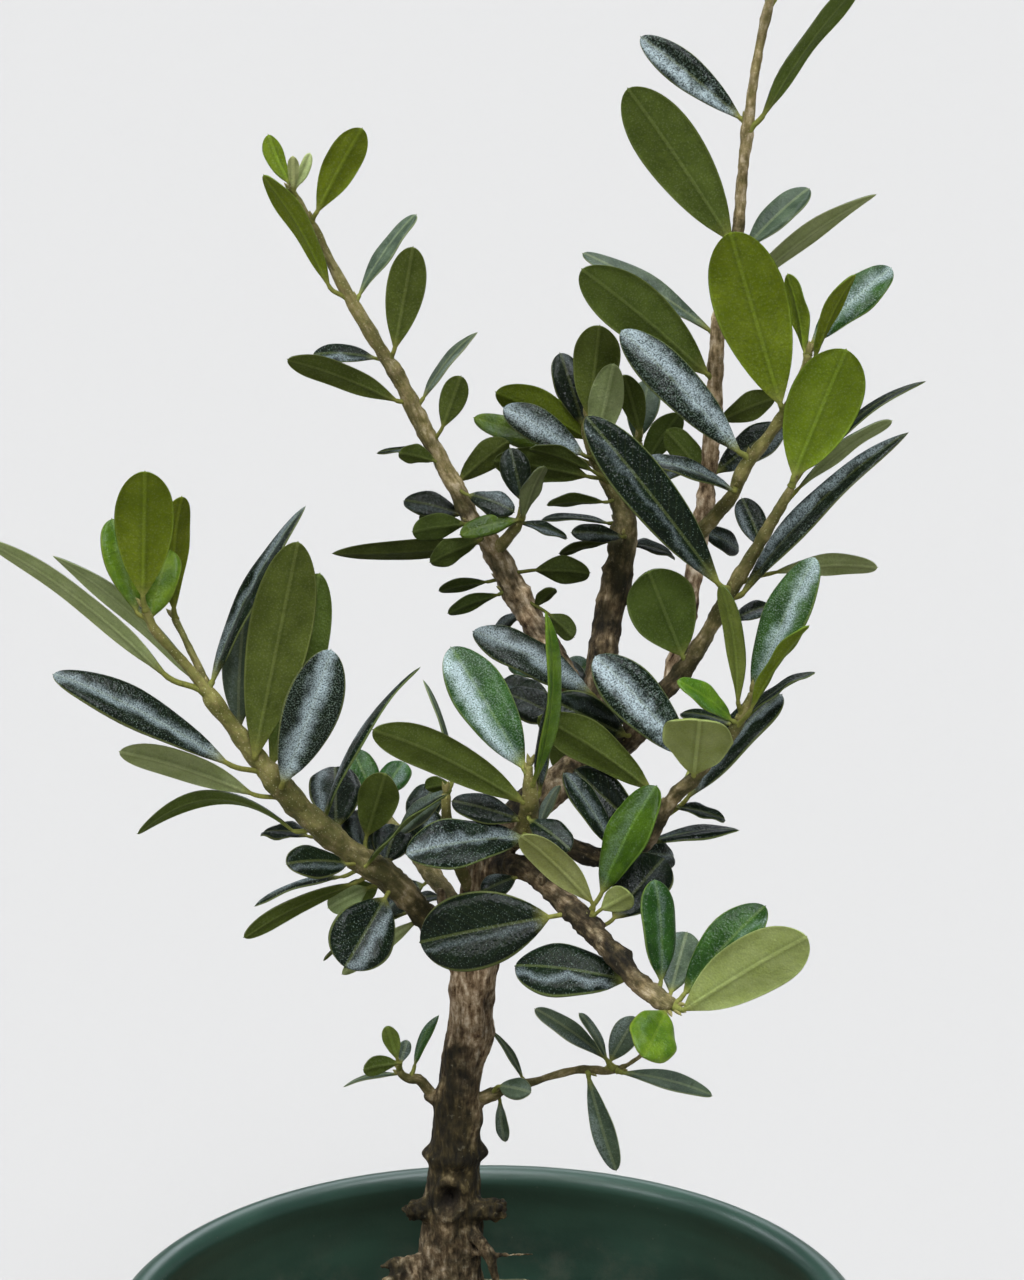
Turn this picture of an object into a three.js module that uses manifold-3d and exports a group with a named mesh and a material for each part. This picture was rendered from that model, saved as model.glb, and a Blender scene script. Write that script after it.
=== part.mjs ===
// Olive bonsai in a round moulded nursery pot. Millimetres, +Z up.
// The origin is the middle of the pot's flat underside, and the pot's axis is the Z axis.
//
// The plant is laid out as one eye sees it. The eye looks at EYE_AIM from EYE_DISTANCE away, tilted down by
// EYE_PITCH. A place is [across, up, back]: across and up are millimetres on the sheet through the aim that
// faces the eye, and back is the true depth, which is world Y and grows away from the eye.
import * as THREE from 'three';
import * as BufferGeometryUtils from 'three/addons/utils/BufferGeometryUtils.js';
import Module from 'manifold-3d';

// Driving dimensions of the pot and its soil
const POT_HEIGHT = 147;
const RIM_RADIUS = 80;
const BASE_RADIUS = 57;
const WALL = 2.2;
const LIP_HEIGHT = 11;
const LIP_PROUD = 3.4;
const FLOOR = 3;
const FOOT_CHAMFER = 1.5;
const LIP_CHAMFER = 0.8;
const LIP_STEPS = 6;
const POT_SIDES = 48;
const HOLE_RADIUS = 5;
const HOLE_CIRCLE = 36;
const HOLES = 6;
const HOLE_SIDES = 12;
const SOIL_TOP = 121.5;
const SOIL_MOUND = 3;
const SOIL_SIDES = 32;
const MOUND_STEPS = 5;
const GAP = 0.3;

// Driving dimensions of the eye that the plant is laid out for
const EYE_DISTANCE = 600;
const EYE_PITCH = THREE.MathUtils.degToRad(13);
const EYE_AIM = new THREE.Vector3(5, 0, 292);
const SHEET_MIDDLE = { across: 5, up: 128 };

// Driving dimensions of the wood and leaves
const LEAF_THICKNESS = 0.55;
const PETIOLE_RADIUS = 0.5;
const PETIOLE_DROP = 1.4;
const PETIOLE_REACH = 1.2;
const FOLD = 0.2;
const WOOD_SIDES = 10;
const TWIG_SIDES = 6;
const STEPS_A_SPAN = 2;

// Colours and finishes
const FINISH = {
  pot: { color: 0x1f3a2e, roughness: 0.45, metalness: 0 },
  soil: { color: 0x4a3a2c, roughness: 0.95, metalness: 0 },
  bark: { color: 0x6f6350, roughness: 0.9, metalness: 0 },
  twig: { color: 0x7d7a45, roughness: 0.75, metalness: 0 },
  dark: { color: 0x1d2b22, roughness: 0.35, metalness: 0 },
  fresh: { color: 0x6f8f2f, roughness: 0.45, metalness: 0 },
  sage: { color: 0x7c8a68, roughness: 0.6, metalness: 0 },
  green: { color: 0x3c5c2a, roughness: 0.4, metalness: 0 },
  lime: { color: 0x9aa860, roughness: 0.55, metalness: 0 },
  vivid: { color: 0x4f8a2c, roughness: 0.4, metalness: 0 },
};

// The outline of a leaf: its width runs as along^rise * (1 - along)^round
const OUTLINES = {
  oval: { rise: 0.8, round: 0.55 },
  lance: { rise: 0.8, round: 0.85 },
};

const wasm = await Module();
wasm.setup();

const olive = new THREE.Group();
olive.name = 'olive_bonsai';

// The eye and its sheet
const sight = new THREE.Vector3(0, Math.cos(EYE_PITCH), -Math.sin(EYE_PITCH));
const sheetUp = new THREE.Vector3(0, Math.sin(EYE_PITCH), Math.cos(EYE_PITCH));
const sheetAcross = new THREE.Vector3(1, 0, 0);
const eye = EYE_AIM.clone().addScaledVector(sight, -EYE_DISTANCE);

function place([across, up, back]) {
  const spot = EYE_AIM.clone()
    .addScaledVector(sheetAcross, across - SHEET_MIDDLE.across)
    .addScaledVector(sheetUp, up - SHEET_MIDDLE.up);
  const ray = spot.sub(eye);
  return eye.clone().addScaledVector(ray, (back - eye.y) / ray.y);
}

// Solids
function solidOf(geometry) {
  geometry.deleteAttribute('normal');
  geometry.deleteAttribute('uv');
  const merged = BufferGeometryUtils.mergeVertices(geometry, 1e-4);
  const vertProperties = new Float32Array(merged.attributes.position.array);
  const triVerts = new Uint32Array(merged.index.array);
  return new wasm.Manifold(new wasm.Mesh({ numProp: 3, vertProperties, triVerts }));
}

function geometryOf(solid) {
  const mesh = solid.getMesh();
  const geometry = new THREE.BufferGeometry();
  geometry.setAttribute('position', new THREE.BufferAttribute(mesh.vertProperties, 3));
  geometry.setIndex(new THREE.BufferAttribute(mesh.triVerts, 1));
  geometry.computeVertexNormals();
  return geometry;
}

function add(name, geometry, finish) {
  const mesh = new THREE.Mesh(geometry, new THREE.MeshStandardMaterial(FINISH[finish]));
  mesh.name = name;
  olive.add(mesh);
}

function reshape(geometry, move) {
  const positions = geometry.attributes.position;
  const vertex = new THREE.Vector3();
  for (let i = 0; i < positions.count; i += 1) {
    vertex.fromBufferAttribute(positions, i);
    const moved = move(vertex);
    positions.setXYZ(i, moved.x, moved.y, moved.z);
  }
  return geometry;
}

// A stem is a smooth curve through its places, each with its own radius
class Stem {
  constructor(points, radii) {
    this.radii = radii;
    this.spans = points.length - 1;
    this.curve = new THREE.CatmullRomCurve3(points, false, 'catmullrom', 0.5);
    this.length = this.curve.getLength();
  }

  // Each row of a route is [across, up, back, radius]
  static along(route) {
    return new Stem(route.map((row) => place(row)), route.map((row) => row[3]));
  }

  at(t) {
    return this.curve.getPoint(t);
  }

  radius(t) {
    const along = t * this.spans;
    const first = Math.min(Math.floor(along), this.spans - 1);
    return THREE.MathUtils.lerp(this.radii[first], this.radii[first + 1], along - first);
  }

  tangent(t) {
    return this.curve.getTangent(t);
  }

  // The curve's parameter where it passes closest to a place on the sheet
  nearest([across, up]) {
    const steps = this.spans * 24;
    let best = { gap: Infinity, t: 0 };
    for (let i = 0; i <= steps; i += 1) {
      const t = i / steps;
      const seen = onSheet(this.at(t));
      const gap = Math.hypot(seen.across - across, seen.up - up);
      if (gap < best.gap) best = { gap, t };
    }
    return best.t;
  }
}

function onSheet(point) {
  const ray = point.clone().sub(eye);
  const scale = EYE_DISTANCE / ray.dot(sight);
  return {
    across: SHEET_MIDDLE.across + ray.dot(sheetAcross) * scale,
    up: SHEET_MIDDLE.up + ray.dot(sheetUp) * scale,
  };
}

function stemGeometry(stem, sides, swell = 0) {
  const steps = stem.spans * STEPS_A_SPAN;
  const frames = [];
  let side = new THREE.Vector3(1, 0, 0);
  for (let i = 0; i <= steps; i += 1) {
    const t = i / steps;
    const along = stem.tangent(t);
    side = side.clone().addScaledVector(along, -side.dot(along));
    if (side.length() < 0.2) side = new THREE.Vector3(0, 1, 0).cross(along);
    side.normalize();
    const front = side.clone().cross(along);
    frames.push({ middle: stem.at(t), side, front, radius: stem.radius(t) + swell });
  }
  return reshape(new THREE.CylinderGeometry(1, 1, 1, sides, steps), (vertex) => {
    const frame = frames[Math.round((vertex.y + 0.5) * steps)];
    return frame.middle.clone()
      .addScaledVector(frame.side, vertex.x * frame.radius)
      .addScaledVector(frame.front, vertex.z * frame.radius);
  });
}

// A leaf is a ball pressed flat. One pole is the petiole's foot and the other is the leaf's tip.
const LEAF_RINGS = 5;

function squaredTo(axis, direction) {
  return direction.clone().addScaledVector(axis, -direction.dot(axis)).normalize();
}

// Where a leaf sits: the petiole's foot on its stem, the blade's line, and which way its upper side faces
function leafFrame(stem, row, rootGap) {
  const { base, tip, lean, turn, out = 0 } = row;
  const near = stem.nearest(base);
  const depth = stem.at(near).y + out + Math.sign(lean) * PETIOLE_REACH;
  const blade = place([base[0], base[1], depth]);
  const end = place([tip[0], tip[1], depth + lean]);
  const along = end.clone().sub(blade).normalize();
  const towardsEye = squaredTo(along, eye.clone().sub(blade));
  const beside = along.clone().cross(towardsEye);
  const angle = THREE.MathUtils.degToRad(turn);
  const upper = towardsEye.multiplyScalar(Math.cos(angle)).addScaledVector(beside, Math.sin(angle));
  const back = PETIOLE_DROP * Math.sign(stem.tangent(near).dot(along));
  const foot = stem.at(THREE.MathUtils.clamp(near - back / stem.length, 0.02, 0.98));
  const outward = blade.clone().sub(foot).normalize();
  if (rootGap > 0) foot.addScaledVector(outward, stem.radius(near) + rootGap);
  return { foot, outward, blade, along, upper, beside, length: end.distanceTo(blade) };
}

function leafGeometry(stem, row, rootGap) {
  const { wide, arch = 0.05, bow = 0, outline = 'oval' } = row;
  const { foot, outward, blade, along, upper, beside, length } = leafFrame(stem, row, rootGap);
  const across = along.clone().cross(upper);
  const bend = outward.clone().add(along).normalize();
  const neckUpper = squaredTo(bend, upper);
  const neckAcross = bend.clone().cross(neckUpper);
  const { rise, round } = OUTLINES[outline];
  const widest = rise / (rise + round);
  const peak = widest ** rise * (1 - widest) ** round;
  return reshape(new THREE.SphereGeometry(1, 4, LEAF_RINGS), (vertex) => {
    const ring = Math.round((Math.acos(THREE.MathUtils.clamp(-vertex.y, -1, 1)) / Math.PI) * LEAF_RINGS);
    if (ring === 0) return foot;
    const s = (ring - 1) / (LEAF_RINGS - 1);
    const middle = blade.clone()
      .addScaledVector(along, s * length)
      .addScaledVector(upper, 4 * s * (1 - s) * arch * length)
      .addScaledVector(beside, 4 * s * (1 - s) * bow);
    if (ring === LEAF_RINGS) return middle;
    const ringRadius = Math.sin((ring / LEAF_RINGS) * Math.PI);
    const sideways = vertex.x / ringRadius;
    const upwards = vertex.z / ringRadius;
    if (ring === 1) {
      return middle
        .addScaledVector(neckAcross, sideways * PETIOLE_RADIUS)
        .addScaledVector(neckUpper, upwards * PETIOLE_RADIUS);
    }
    const half = ((wide / 2) * (s ** rise * (1 - s) ** round)) / peak;
    return middle
      .addScaledVector(across, sideways * half)
      .addScaledVector(upper, (upwards * LEAF_THICKNESS) / 2 + Math.abs(sideways) * half * FOLD);
  });
}

// Pot: a tapered wall with a thick rolled lip, turned about Z, with holes through its floor
const WALL_TOP = POT_HEIGHT - LIP_HEIGHT;
const WALL_TOP_RADIUS = RIM_RADIUS - LIP_PROUD;

function innerRadius(z) {
  const taper = (WALL_TOP_RADIUS - BASE_RADIUS) / WALL_TOP;
  return BASE_RADIUS + taper * z - WALL;
}

// Turns [radius, height] places about Z
function turnedSolid(profile, sides) {
  const turned = new THREE.LatheGeometry(profile.map(([radius, z]) => new THREE.Vector2(radius, z)), sides);
  return solidOf(turned.rotateX(Math.PI / 2));
}

function potSolid() {
  const profile = [
    [0, 0],
    [BASE_RADIUS - FOOT_CHAMFER, 0],
    [BASE_RADIUS, FOOT_CHAMFER],
    [WALL_TOP_RADIUS, WALL_TOP],
    [RIM_RADIUS - LIP_CHAMFER, WALL_TOP + LIP_CHAMFER / 2],
    [RIM_RADIUS, WALL_TOP + 2 * LIP_CHAMFER],
    [RIM_RADIUS, POT_HEIGHT - LIP_PROUD],
  ];
  for (let i = 1; i < LIP_STEPS; i += 1) {
    const angle = (i / LIP_STEPS) * Math.PI;
    const rise = LIP_PROUD * Math.sin(angle);
    profile.push([WALL_TOP_RADIUS + LIP_PROUD * Math.cos(angle), POT_HEIGHT - LIP_PROUD + rise]);
  }
  profile.push([innerRadius(WALL_TOP), WALL_TOP], [innerRadius(FLOOR), FLOOR], [0, FLOOR]);
  let pot = turnedSolid(profile, POT_SIDES);
  for (let i = 0; i < HOLES; i += 1) {
    const angle = (i / HOLES) * 2 * Math.PI;
    const drill = new THREE.CylinderGeometry(HOLE_RADIUS, HOLE_RADIUS, 3 * FLOOR, HOLE_SIDES);
    drill.rotateX(Math.PI / 2);
    drill.translate(HOLE_CIRCLE * Math.cos(angle), HOLE_CIRCLE * Math.sin(angle), FLOOR / 2);
    pot = pot.subtract(solidOf(drill));
  }
  return pot;
}

add('pot', geometryOf(potSolid()), 'pot');

// Wood: the trunk and the feet of its limbs, grown as one piece. Each row is [across, up, back, radius].
const WOOD = {
  trunk: Stem.along([
    [-7.5, -46, 14, 10],
    [-7.5, -34, 14, 13],
    [-7.5, -24, 14, 12],
    [-7.4, -12, 13, 8.8],
    [-7.2, 2, 12, 6.8],
    [-6.9, 18, 11, 5.7],
    [-5.9, 36, 10, 4.9],
    [-3.6, 50, 9, 4.7],
    [-2.4, 64, 8, 4.6],
    [-1.4, 77, 7, 4.2],
    [4, 90, 8, 4.1],
    [14, 99, 9, 3.8],
    [21, 105, 11, 3.2],
  ]),
  left_foot: Stem.along([[-3.8, 62, 8, 3], [-7.4, 66.6, 6.8, 2.7], [-10.6, 70.2, 5.2, 2.5]]),
  back_left_foot: Stem.along([[-3, 70, 9, 2.6], [-5.4, 73, 15, 2.2], [-7, 75.4, 20, 1.9]]),
  front_right_foot: Stem.along([[-2, 79, 7, 2.9], [2, 82.6, 3, 2.6], [5.4, 83.2, -0.6, 2.3]]),
  front_foot: Stem.along([[2, 87, 8, 2.4], [5, 87.8, 2, 2.1], [6.6, 88.8, -2, 1.8]]),
  right_lower_foot: Stem.along([[7, 92, 8, 2.6], [12, 88.6, 4, 2.3], [16, 87, 2, 2.1]]),
  upper_left_foot: Stem.along([[21, 105, 12, 3], [19, 111, 14.4, 2.9], [17.4, 116, 16.6, 2.8]]),
  central_foot: Stem.along([[20, 103, 11, 3.2], [21.4, 110, 16, 3.1], [22.2, 117, 20, 3]]),
  right_foot: Stem.along([[17, 100, 10, 3.2], [22, 103.8, 11.4, 2.8], [26, 106.4, 12, 2.6]]),
  back_foot: Stem.along([[19, 103, 12, 2.8], [19.4, 105.4, 20, 2.4], [19, 107.6, 27, 2.1]]),
  left_twig_foot: Stem.along([[-7, 35.6, 10, 2], [-10.4, 36.4, 9.4, 1.6], [-11.8, 37.6, 9, 1.2]]),
  right_twig_foot: Stem.along([[-6, 35, 10, 2.2], [-2.8, 35.8, 8.8, 1.8], [-1, 36.2, 8.4, 1.4]]),
  left_stub: Stem.along([[-8, 14, 11, 2.6], [-14.2, 14, 8, 2.2], [-16.4, 14.6, 7.6, 1.4]]),
  right_stub: Stem.along([[-6, 14, 10, 2.8], [0.6, 14, 7, 2.5], [3.4, 14.4, 6, 2.3]]),
};

// Main roots that run out from the foot of the trunk and dive into the soil
const ROOTS = [
  { bearing: 15, reach: 24, radius: 4 },
  { bearing: 78, reach: 20, radius: 3.4 },
  { bearing: 140, reach: 26, radius: 4.2 },
  { bearing: 205, reach: 25, radius: 4.6 },
  { bearing: 262, reach: 22, radius: 3.8 },
  { bearing: 318, reach: 24, radius: 3.6 },
];
const ROOT_HEART = 0.22; // where the roots start, as a part of the trunk's length
const ROOT_START = { distance: 2, z: SOIL_TOP + 9 };
const ROOT_BEND = { part: 0.42, z: SOIL_TOP + 2.5 };
const ROOT_DEPTH = SOIL_TOP - 7;
const ROOT_TAPER = [1, 0.8, 0.35];
const LIMB_SIDES = 8;

function rootGeometry({ bearing, reach, radius }, swell) {
  const angle = THREE.MathUtils.degToRad(bearing);
  const heart = WOOD.trunk.at(ROOT_HEART);
  const out = (distance, z) => new THREE.Vector3(
    heart.x + distance * Math.cos(angle),
    heart.y + distance * Math.sin(angle),
    z,
  );
  const places = [
    out(ROOT_START.distance, ROOT_START.z),
    out(reach * ROOT_BEND.part, ROOT_BEND.z),
    out(reach, ROOT_DEPTH),
  ];
  return stemGeometry(new Stem(places, ROOT_TAPER.map((part) => radius * part)), LIMB_SIDES, swell);
}

function joined(solids) {
  return solids.reduce((whole, next) => whole.add(next));
}

function sidesOf(stem) {
  return stem === WOOD.trunk ? WOOD_SIDES : LIMB_SIDES;
}

const wood = joined([
  ...Object.values(WOOD).map((stem) => solidOf(stemGeometry(stem, sidesOf(stem)))),
  ...ROOTS.map((root) => solidOf(rootGeometry(root, 0))),
]);
add('trunk_and_limbs', geometryOf(wood), 'bark');

// Soil: it fills the pot from floor to SOIL_TOP, a little higher at the trunk, and is hollowed for the roots
function soilSolid() {
  const floor = FLOOR + GAP;
  const profile = [[0, floor], [innerRadius(floor) - GAP, floor], [innerRadius(SOIL_TOP) - GAP, SOIL_TOP]];
  for (let i = MOUND_STEPS - 1; i >= 0; i -= 1) {
    const part = i / MOUND_STEPS;
    profile.push([part * innerRadius(SOIL_TOP), SOIL_TOP + SOIL_MOUND * (1 - part * part)]);
  }
  const hollow = joined([
    solidOf(stemGeometry(WOOD.trunk, WOOD_SIDES, GAP)),
    ...ROOTS.map((root) => solidOf(rootGeometry(root, GAP))),
  ]);
  return turnedSolid(profile, SOIL_SIDES).subtract(hollow);
}

add('potting_soil', geometryOf(soilSolid()), 'soil');

// A leaf's row: where its blade starts and ends on the sheet, how far its tip leans back, its true width,
// and its turn about its own length. A turn of 0 shows the glossy upper side, 180 the underside, and 90 an
// edge with the upper side to the right.
function leaf(base, tip, lean, wide, turn, more = {}) {
  return { base, tip, lean, wide, turn, ...more };
}

// Branches and twigs. Each starts inside what it grows from and is cut GAP clear of it. A leaf with a name is
// a piece of its own, and the others are joined to their branch.
const BRANCHES = {
  left_branch: {
    route: [
      [-8.6, 68, 6.2, 2.6], [-14, 74.6, 4, 2.4], [-20, 80.6, 2, 2.3], [-26.4, 84.9, 1, 2.3],
      [-33, 90.4, 0, 2.2],
      [-40, 97.4, -1, 2.2], [-46, 104.4, -2, 1.7], [-53, 113.6, -3, 1.4], [-60, 122.8, -4, 1],
      [-66, 129.4, -5, 0.8],
      [-68.6, 134.6, -6, 0.6],
    ],
    leaves: [
      leaf([-68.8, 137], [-68.4, 162], -8, 11.6, 180, { name: 'left_tip_leaf', kind: 'fresh' }),
      leaf([-70.2, 134], [-75, 152.2], 6, 9, 25, { kind: 'fresh' }),
      leaf([-67.4, 132.4], [-63.4, 146], 7, 8, -20, { kind: 'fresh' }),
      leaf([-64.8, 121.4], [-102, 149.8], -6, 7.2, 130,
        { name: 'left_long_leaf', kind: 'sage', outline: 'lance' }),
      leaf([-57.6, 119.4], [-86.3, 145.3], 2, 7.5, 122, { out: 5.4, kind: 'sage', outline: 'lance' }),
      leaf([-52.4, 103.6], [-86.4, 121.6], -3, 9.5, 35, { name: 'left_dark_leaf', out: -3 }),
      leaf([-47.4, 97.4], [-73.4, 106], -4, 7.5, 145, { out: 1, kind: 'sage' }),
      leaf([-38.8, 89.8], [-69.8, 89.8], 2, 7, 112, { bow: 5 }),
      leaf([-36, 88.8], [-44.8, 89.4], 5, 8, 60, { out: 3 }),
      leaf([-54.8, 120], [-36.4, 154.8], 3, 8, -58, { name: 'left_upright_leaf', outline: 'lance' }),
      leaf([-46.4, 105], [-37.8, 147.6], -9, 12.6, 180, { name: 'left_great_leaf', out: -1 }),
      leaf([-43, 103.4], [-33.4, 141.3], -2, 11, 165, { name: 'left_great_leaf_behind', out: 5 }),
      leaf([-49.6, 110.6], [-48.4, 134], 3, 8, -20, { out: 4, kind: 'sage' }),
      leaf([-40.8, 99.6], [-31.2, 126], 3, 11.5, 12, { name: 'left_shining_leaf', out: -7 }),
      leaf([-32.8, 91.4], [-14.2, 123], 4, 8, -80, { name: 'left_inner_leaf', outline: 'lance' }),
      leaf([-30.2, 90.4], [-30.4, 102.8], 16, 11, 0, { out: 2 }),
      leaf([-28.2, 83.2], [-40, 83.2], -10, 8, 40, { out: -3 }),
      leaf([-29.4, 80.6], [-46.6, 75], 2, 6, 82, { outline: 'lance' }),
      leaf([-27, 79.2], [-48.6, 68.6], -4, 7, 118, { out: 2 }),
      leaf([-24, 78.4], [-31.8, 74.5], -2, 6, 160, { out: 5, kind: 'sage' }),
      leaf([-22, 78.6], [-28, 77], 3, 6, 150, { out: 3 }),
      leaf([-24, 89], [-20.2, 101.4], -8, 8.5, 180, { out: 7 }),
      leaf([-23.5, 84.6], [-26, 94], 9, 9, 10, { out: 3 }),
      leaf([-20.4, 83.4], [-18, 91], 8, 8.5, -10),
      leaf([-24, 83], [-8, 97.4], -3, 7, -88, { out: -2, outline: 'lance' }),
      leaf([-20.4, 76.4], [-28.4, 62.6], -10, 13.4, 0, { name: 'left_round_leaf', out: -3 }),
      leaf([-15, 75.6], [-9.6, 76.6], 6, 5, -60, { out: 4 }),
      leaf([-16, 73.4], [-32.8, 64.2], 3, 4, 84, { out: 4 }),
      leaf([-14.4, 71.6], [-28.9, 61.2], 1, 4, 170, { out: 3, kind: 'sage' }),
    ],
  },
  left_side_twig: {
    from: 'left_branch',
    route: [[-54.4, 116, -2.2, 0.9], [-57, 121.2, -1.2, 0.8], [-60, 127.4, 1.4, 0.7], [-62.6, 132.6, 5, 0.6]],
    leaves: [leaf([-62.6, 134.4], [-61.4, 156.8], -2, 8, -145, { kind: 'fresh' })],
  },
  upper_left_branch: {
    route: [
      [18.6, 112.6, 15, 2.8], [16, 119, 17.6, 2.8], [11.8, 127, 20, 2.8], [8.4, 133, 21, 2.6],
      [4.6, 139.6, 22, 2.3],
      [0.6, 147.4, 22, 1.9], [-3.2, 152.4, 22, 1.7], [-6, 158, 21.5, 1.6], [-11.4, 167.8, 20.5, 1.5],
      [-16.8, 178.8, 19, 1.4], [-21, 185.6, 18, 1.3], [-28, 197.4, 17, 1.1], [-35, 210.8, 16, 0.8],
      [-38.8, 217.6, 15.5, 0.6],
    ],
    leaves: [
      leaf([-39.8, 219.6], [-43.8, 229], 2, 5, -140, { kind: 'fresh' }),
      leaf([-38.8, 218.4], [-38.8, 224.8], -2, 2.4, 170, { kind: 'bud' }),
      leaf([-38.4, 218.4], [-35.4, 225.4], 2, 2.6, 20, { kind: 'bud' }),
      leaf([-31.8, 199.2], [-44.6, 221], -3, 7.4, 128, { name: 'upper_left_tip_leaf', kind: 'fresh' }),
      leaf([-33.8, 214], [-25, 230.4], -4, 7.2, -168, { kind: 'fresh' }),
      leaf([-25.4, 197.2], [-14.4, 213.2], 4, 5.5, -55, { kind: 'sage' }),
      leaf([-18.4, 186.6], [-14.8, 206.6], -5, 7.8, 178, { name: 'upper_left_inner_leaf' }),
      leaf([-22.6, 184.4], [-34.8, 185], 6, 5, 38, { out: 3 }),
      leaf([-18.4, 176], [-39.8, 184.4], -5, 7.6, 140, { name: 'upper_left_outer_leaf' }),
      leaf([-12.6, 176.6], [-2.2, 189.8], 4, 4.6, -62, { kind: 'sage', outline: 'lance' }),
      leaf([-8.8, 170.8], [-5.2, 180.8], -3, 5.6, 178),
      leaf([-10.6, 163.9], [-17.6, 165.6], -3, 4.8, 145),
      leaf([-10.4, 165.6], [-22, 165.4], 5, 2.2, 60, { out: 2 }),
      leaf([-5.5, 153.2], [-16.6, 155.8], 3, 6.4, 30, { out: 1 }),
      leaf([-4.6, 151.2], [-15, 149.8], -4, 6.2, 150, { out: -1 }),
      leaf([-3.4, 153.4], [-13.4, 152.4], 8, 4.4, 120, { out: 3 }),
      leaf([-2, 147.4], [-31, 145.6], 5, 6.4, 128, { out: 3, outline: 'lance', arch: -0.03 }),
      leaf([-1.8, 147.8], [-11.4, 143.6], -3, 6, 150, { out: -2 }),
      leaf([-0.4, 139.6], [-9.6, 138], 2, 4.6, 128),
      leaf([2, 137], [-7.8, 133.4], -3, 4.6, 130),
      leaf([-5.4, 160], [4.2, 167.8], 4, 6.6, -150),
      leaf([-3.6, 157], [5.4, 153.6], -3, 6.4, -40, { out: -2 }),
      leaf([9.8, 142], [20.6, 141.6], -3, 6.8, -150),
      leaf([9.8, 134.8], [13.4, 138.4], -3, 3.8, -140, { out: -1 }),
      leaf([12.6, 133], [17.4, 128.6], -4, 5, -150, { out: -3 }),
      leaf([7.2, 133.4], [0.6, 128.8], 5, 5, 60, { out: 4 }),
    ],
  },
  upper_left_side_twig: {
    from: 'upper_left_branch',
    route: [[1.4, 145.6, 22, 1.4], [4.6, 149, 18.6, 1.1], [6.4, 151.6, 16.6, 0.8], [7, 154.6, 15.6, 0.5]],
    leaves: [
      leaf([6, 152], [-5.4, 149.2], -3, 4.8, 30, { kind: 'fresh' }),
      leaf([7.2, 152.4], [11.2, 162.8], -2, 6.6, -120, { kind: 'sage' }),
      leaf([7, 156], [4.6, 166.4], 3, 6.4, 10),
      leaf([6.8, 151.4], [16, 148.4], 1, 5, -60),
    ],
  },
  central_branch: {
    route: [
      [21.9, 114.4, 18.2, 3.1], [22.6, 121, 22.4, 3.1], [24.2, 132, 27, 3], [26.6, 143, 30, 2.8],
      [27.6, 151, 31.6, 2.2], [26.4, 156, 32, 1.8], [24, 160.6, 32, 1.5], [21.6, 164.6, 31.4, 1.3],
      [20, 169, 30.6, 1], [20, 172.6, 30, 0.6],
    ],
    leaves: [
      leaf([20.2, 168.4], [1.8, 177.6], 2, 9, 150, { kind: 'fresh', out: 2 }),
      leaf([19, 165.2], [3.4, 174.6], 3, 7.6, 20, { name: 'central_shining_leaf', out: -4 }),
      leaf([17.6, 164.6], [-2.6, 172.6], 5, 6, 20, { kind: 'fresh', out: 3 }),
      leaf([20.8, 162], [8.6, 166.4], -3, 5.4, 125, { out: -5 }),
      leaf([19.8, 160.8], [1.4, 163.8], -2, 8.6, 145, { out: -4 }),
      leaf([19.2, 171], [14.6, 185.4], 6, 7, 10, { out: 2 }),
      leaf([20.4, 173], [22.6, 191], -6, 9.8, 175, { name: 'central_top_leaf' }),
      leaf([21.4, 166], [25.4, 183.2], -4, 7.2, 172, { kind: 'sage', out: -4 }),
      leaf([23, 155.6], [12, 155.2], -2, 4.8, 125, { out: -3 }),
      leaf([24, 151.4], [11, 152.2], 4, 4, 70),
      leaf([24, 147.6], [14.4, 145.4], -2, 3.6, 120),
      leaf([27, 148.6], [17, 149.6], -4, 4.4, 30, { out: -4 }),
      leaf([29, 155], [36.4, 150], -6, 5, -40, { out: -2 }),
      leaf([29, 147], [37.4, 144.6], 5, 7, -70, { out: 4 }),
    ],
  },
  central_side_twig: {
    from: 'central_branch',
    route: [[27.2, 150, 32, 1.5], [29, 156.6, 34, 1.2], [30.2, 163, 35.6, 0.9], [30.4, 168, 36.4, 0.6]],
    leaves: [
      leaf([29.8, 168], [32.4, 180], 6, 7, -5, { kind: 'sage' }),
      leaf([31.4, 163], [38.4, 173.4], -4, 6.6, -160),
      leaf([30.6, 169.6], [27.4, 181], -3, 5.6, 165),
      leaf([31.4, 158], [42, 164.4], 6, 6.4, -50),
      leaf([29.4, 160], [24.4, 168], 9, 6, 20),
    ],
  },
  right_branch: {
    route: [
      [23.6, 104.8, 11.8, 2.6], [29, 109, 12, 2.5], [32.8, 115, 11, 2.2], [38.1, 120.6, 9.8, 1.9],
      [40.8, 124, 9, 1.7],
      [44.4, 130, 7.6, 1.5], [49.4, 138.8, 5.6, 1.3], [55.4, 149, 3.6, 1.1], [60.6, 158, 2, 0.8],
      [61.6, 161, 1.6, 0.6],
    ],
    leaves: [
      leaf([27.6, 109], [13, 116], 1, 9, 0, { out: -5 }),
      leaf([51.4, 137.6], [84, 169.8], 4, 7.5, -48, { name: 'right_long_leaf', out: -2, outline: 'lance' }),
      leaf([58, 141.6], [78, 142.8], -1, 6.5, -128, { kind: 'sage', out: 7 }),
      leaf([39, 125], [32.2, 142], -10, 14, 180, { name: 'right_broad_leaf' }),
      leaf([46, 139.6], [19.8, 172.6], 4, 10.6, 15, { name: 'right_black_leaf', out: -6 }),
      leaf([49.6, 132], [56.8, 134.8], 6, 5, -40, { out: 2 }),
      leaf([55, 146.4], [51, 156.4], 6, 6, 20, { out: 4 }),
      leaf([61.4, 161], [71.8, 186.2], -4, 14.6, -175, { name: 'right_bright_leaf', kind: 'fresh' }),
      leaf([62.6, 158.6], [80.6, 172.2], 2, 6.6, -112, { out: 4, kind: 'sage' }),
      leaf([63, 161.6], [87.4, 180.4], 11, 6, -66, { out: 4, outline: 'lance' }),
    ],
  },
  leader: {
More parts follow.
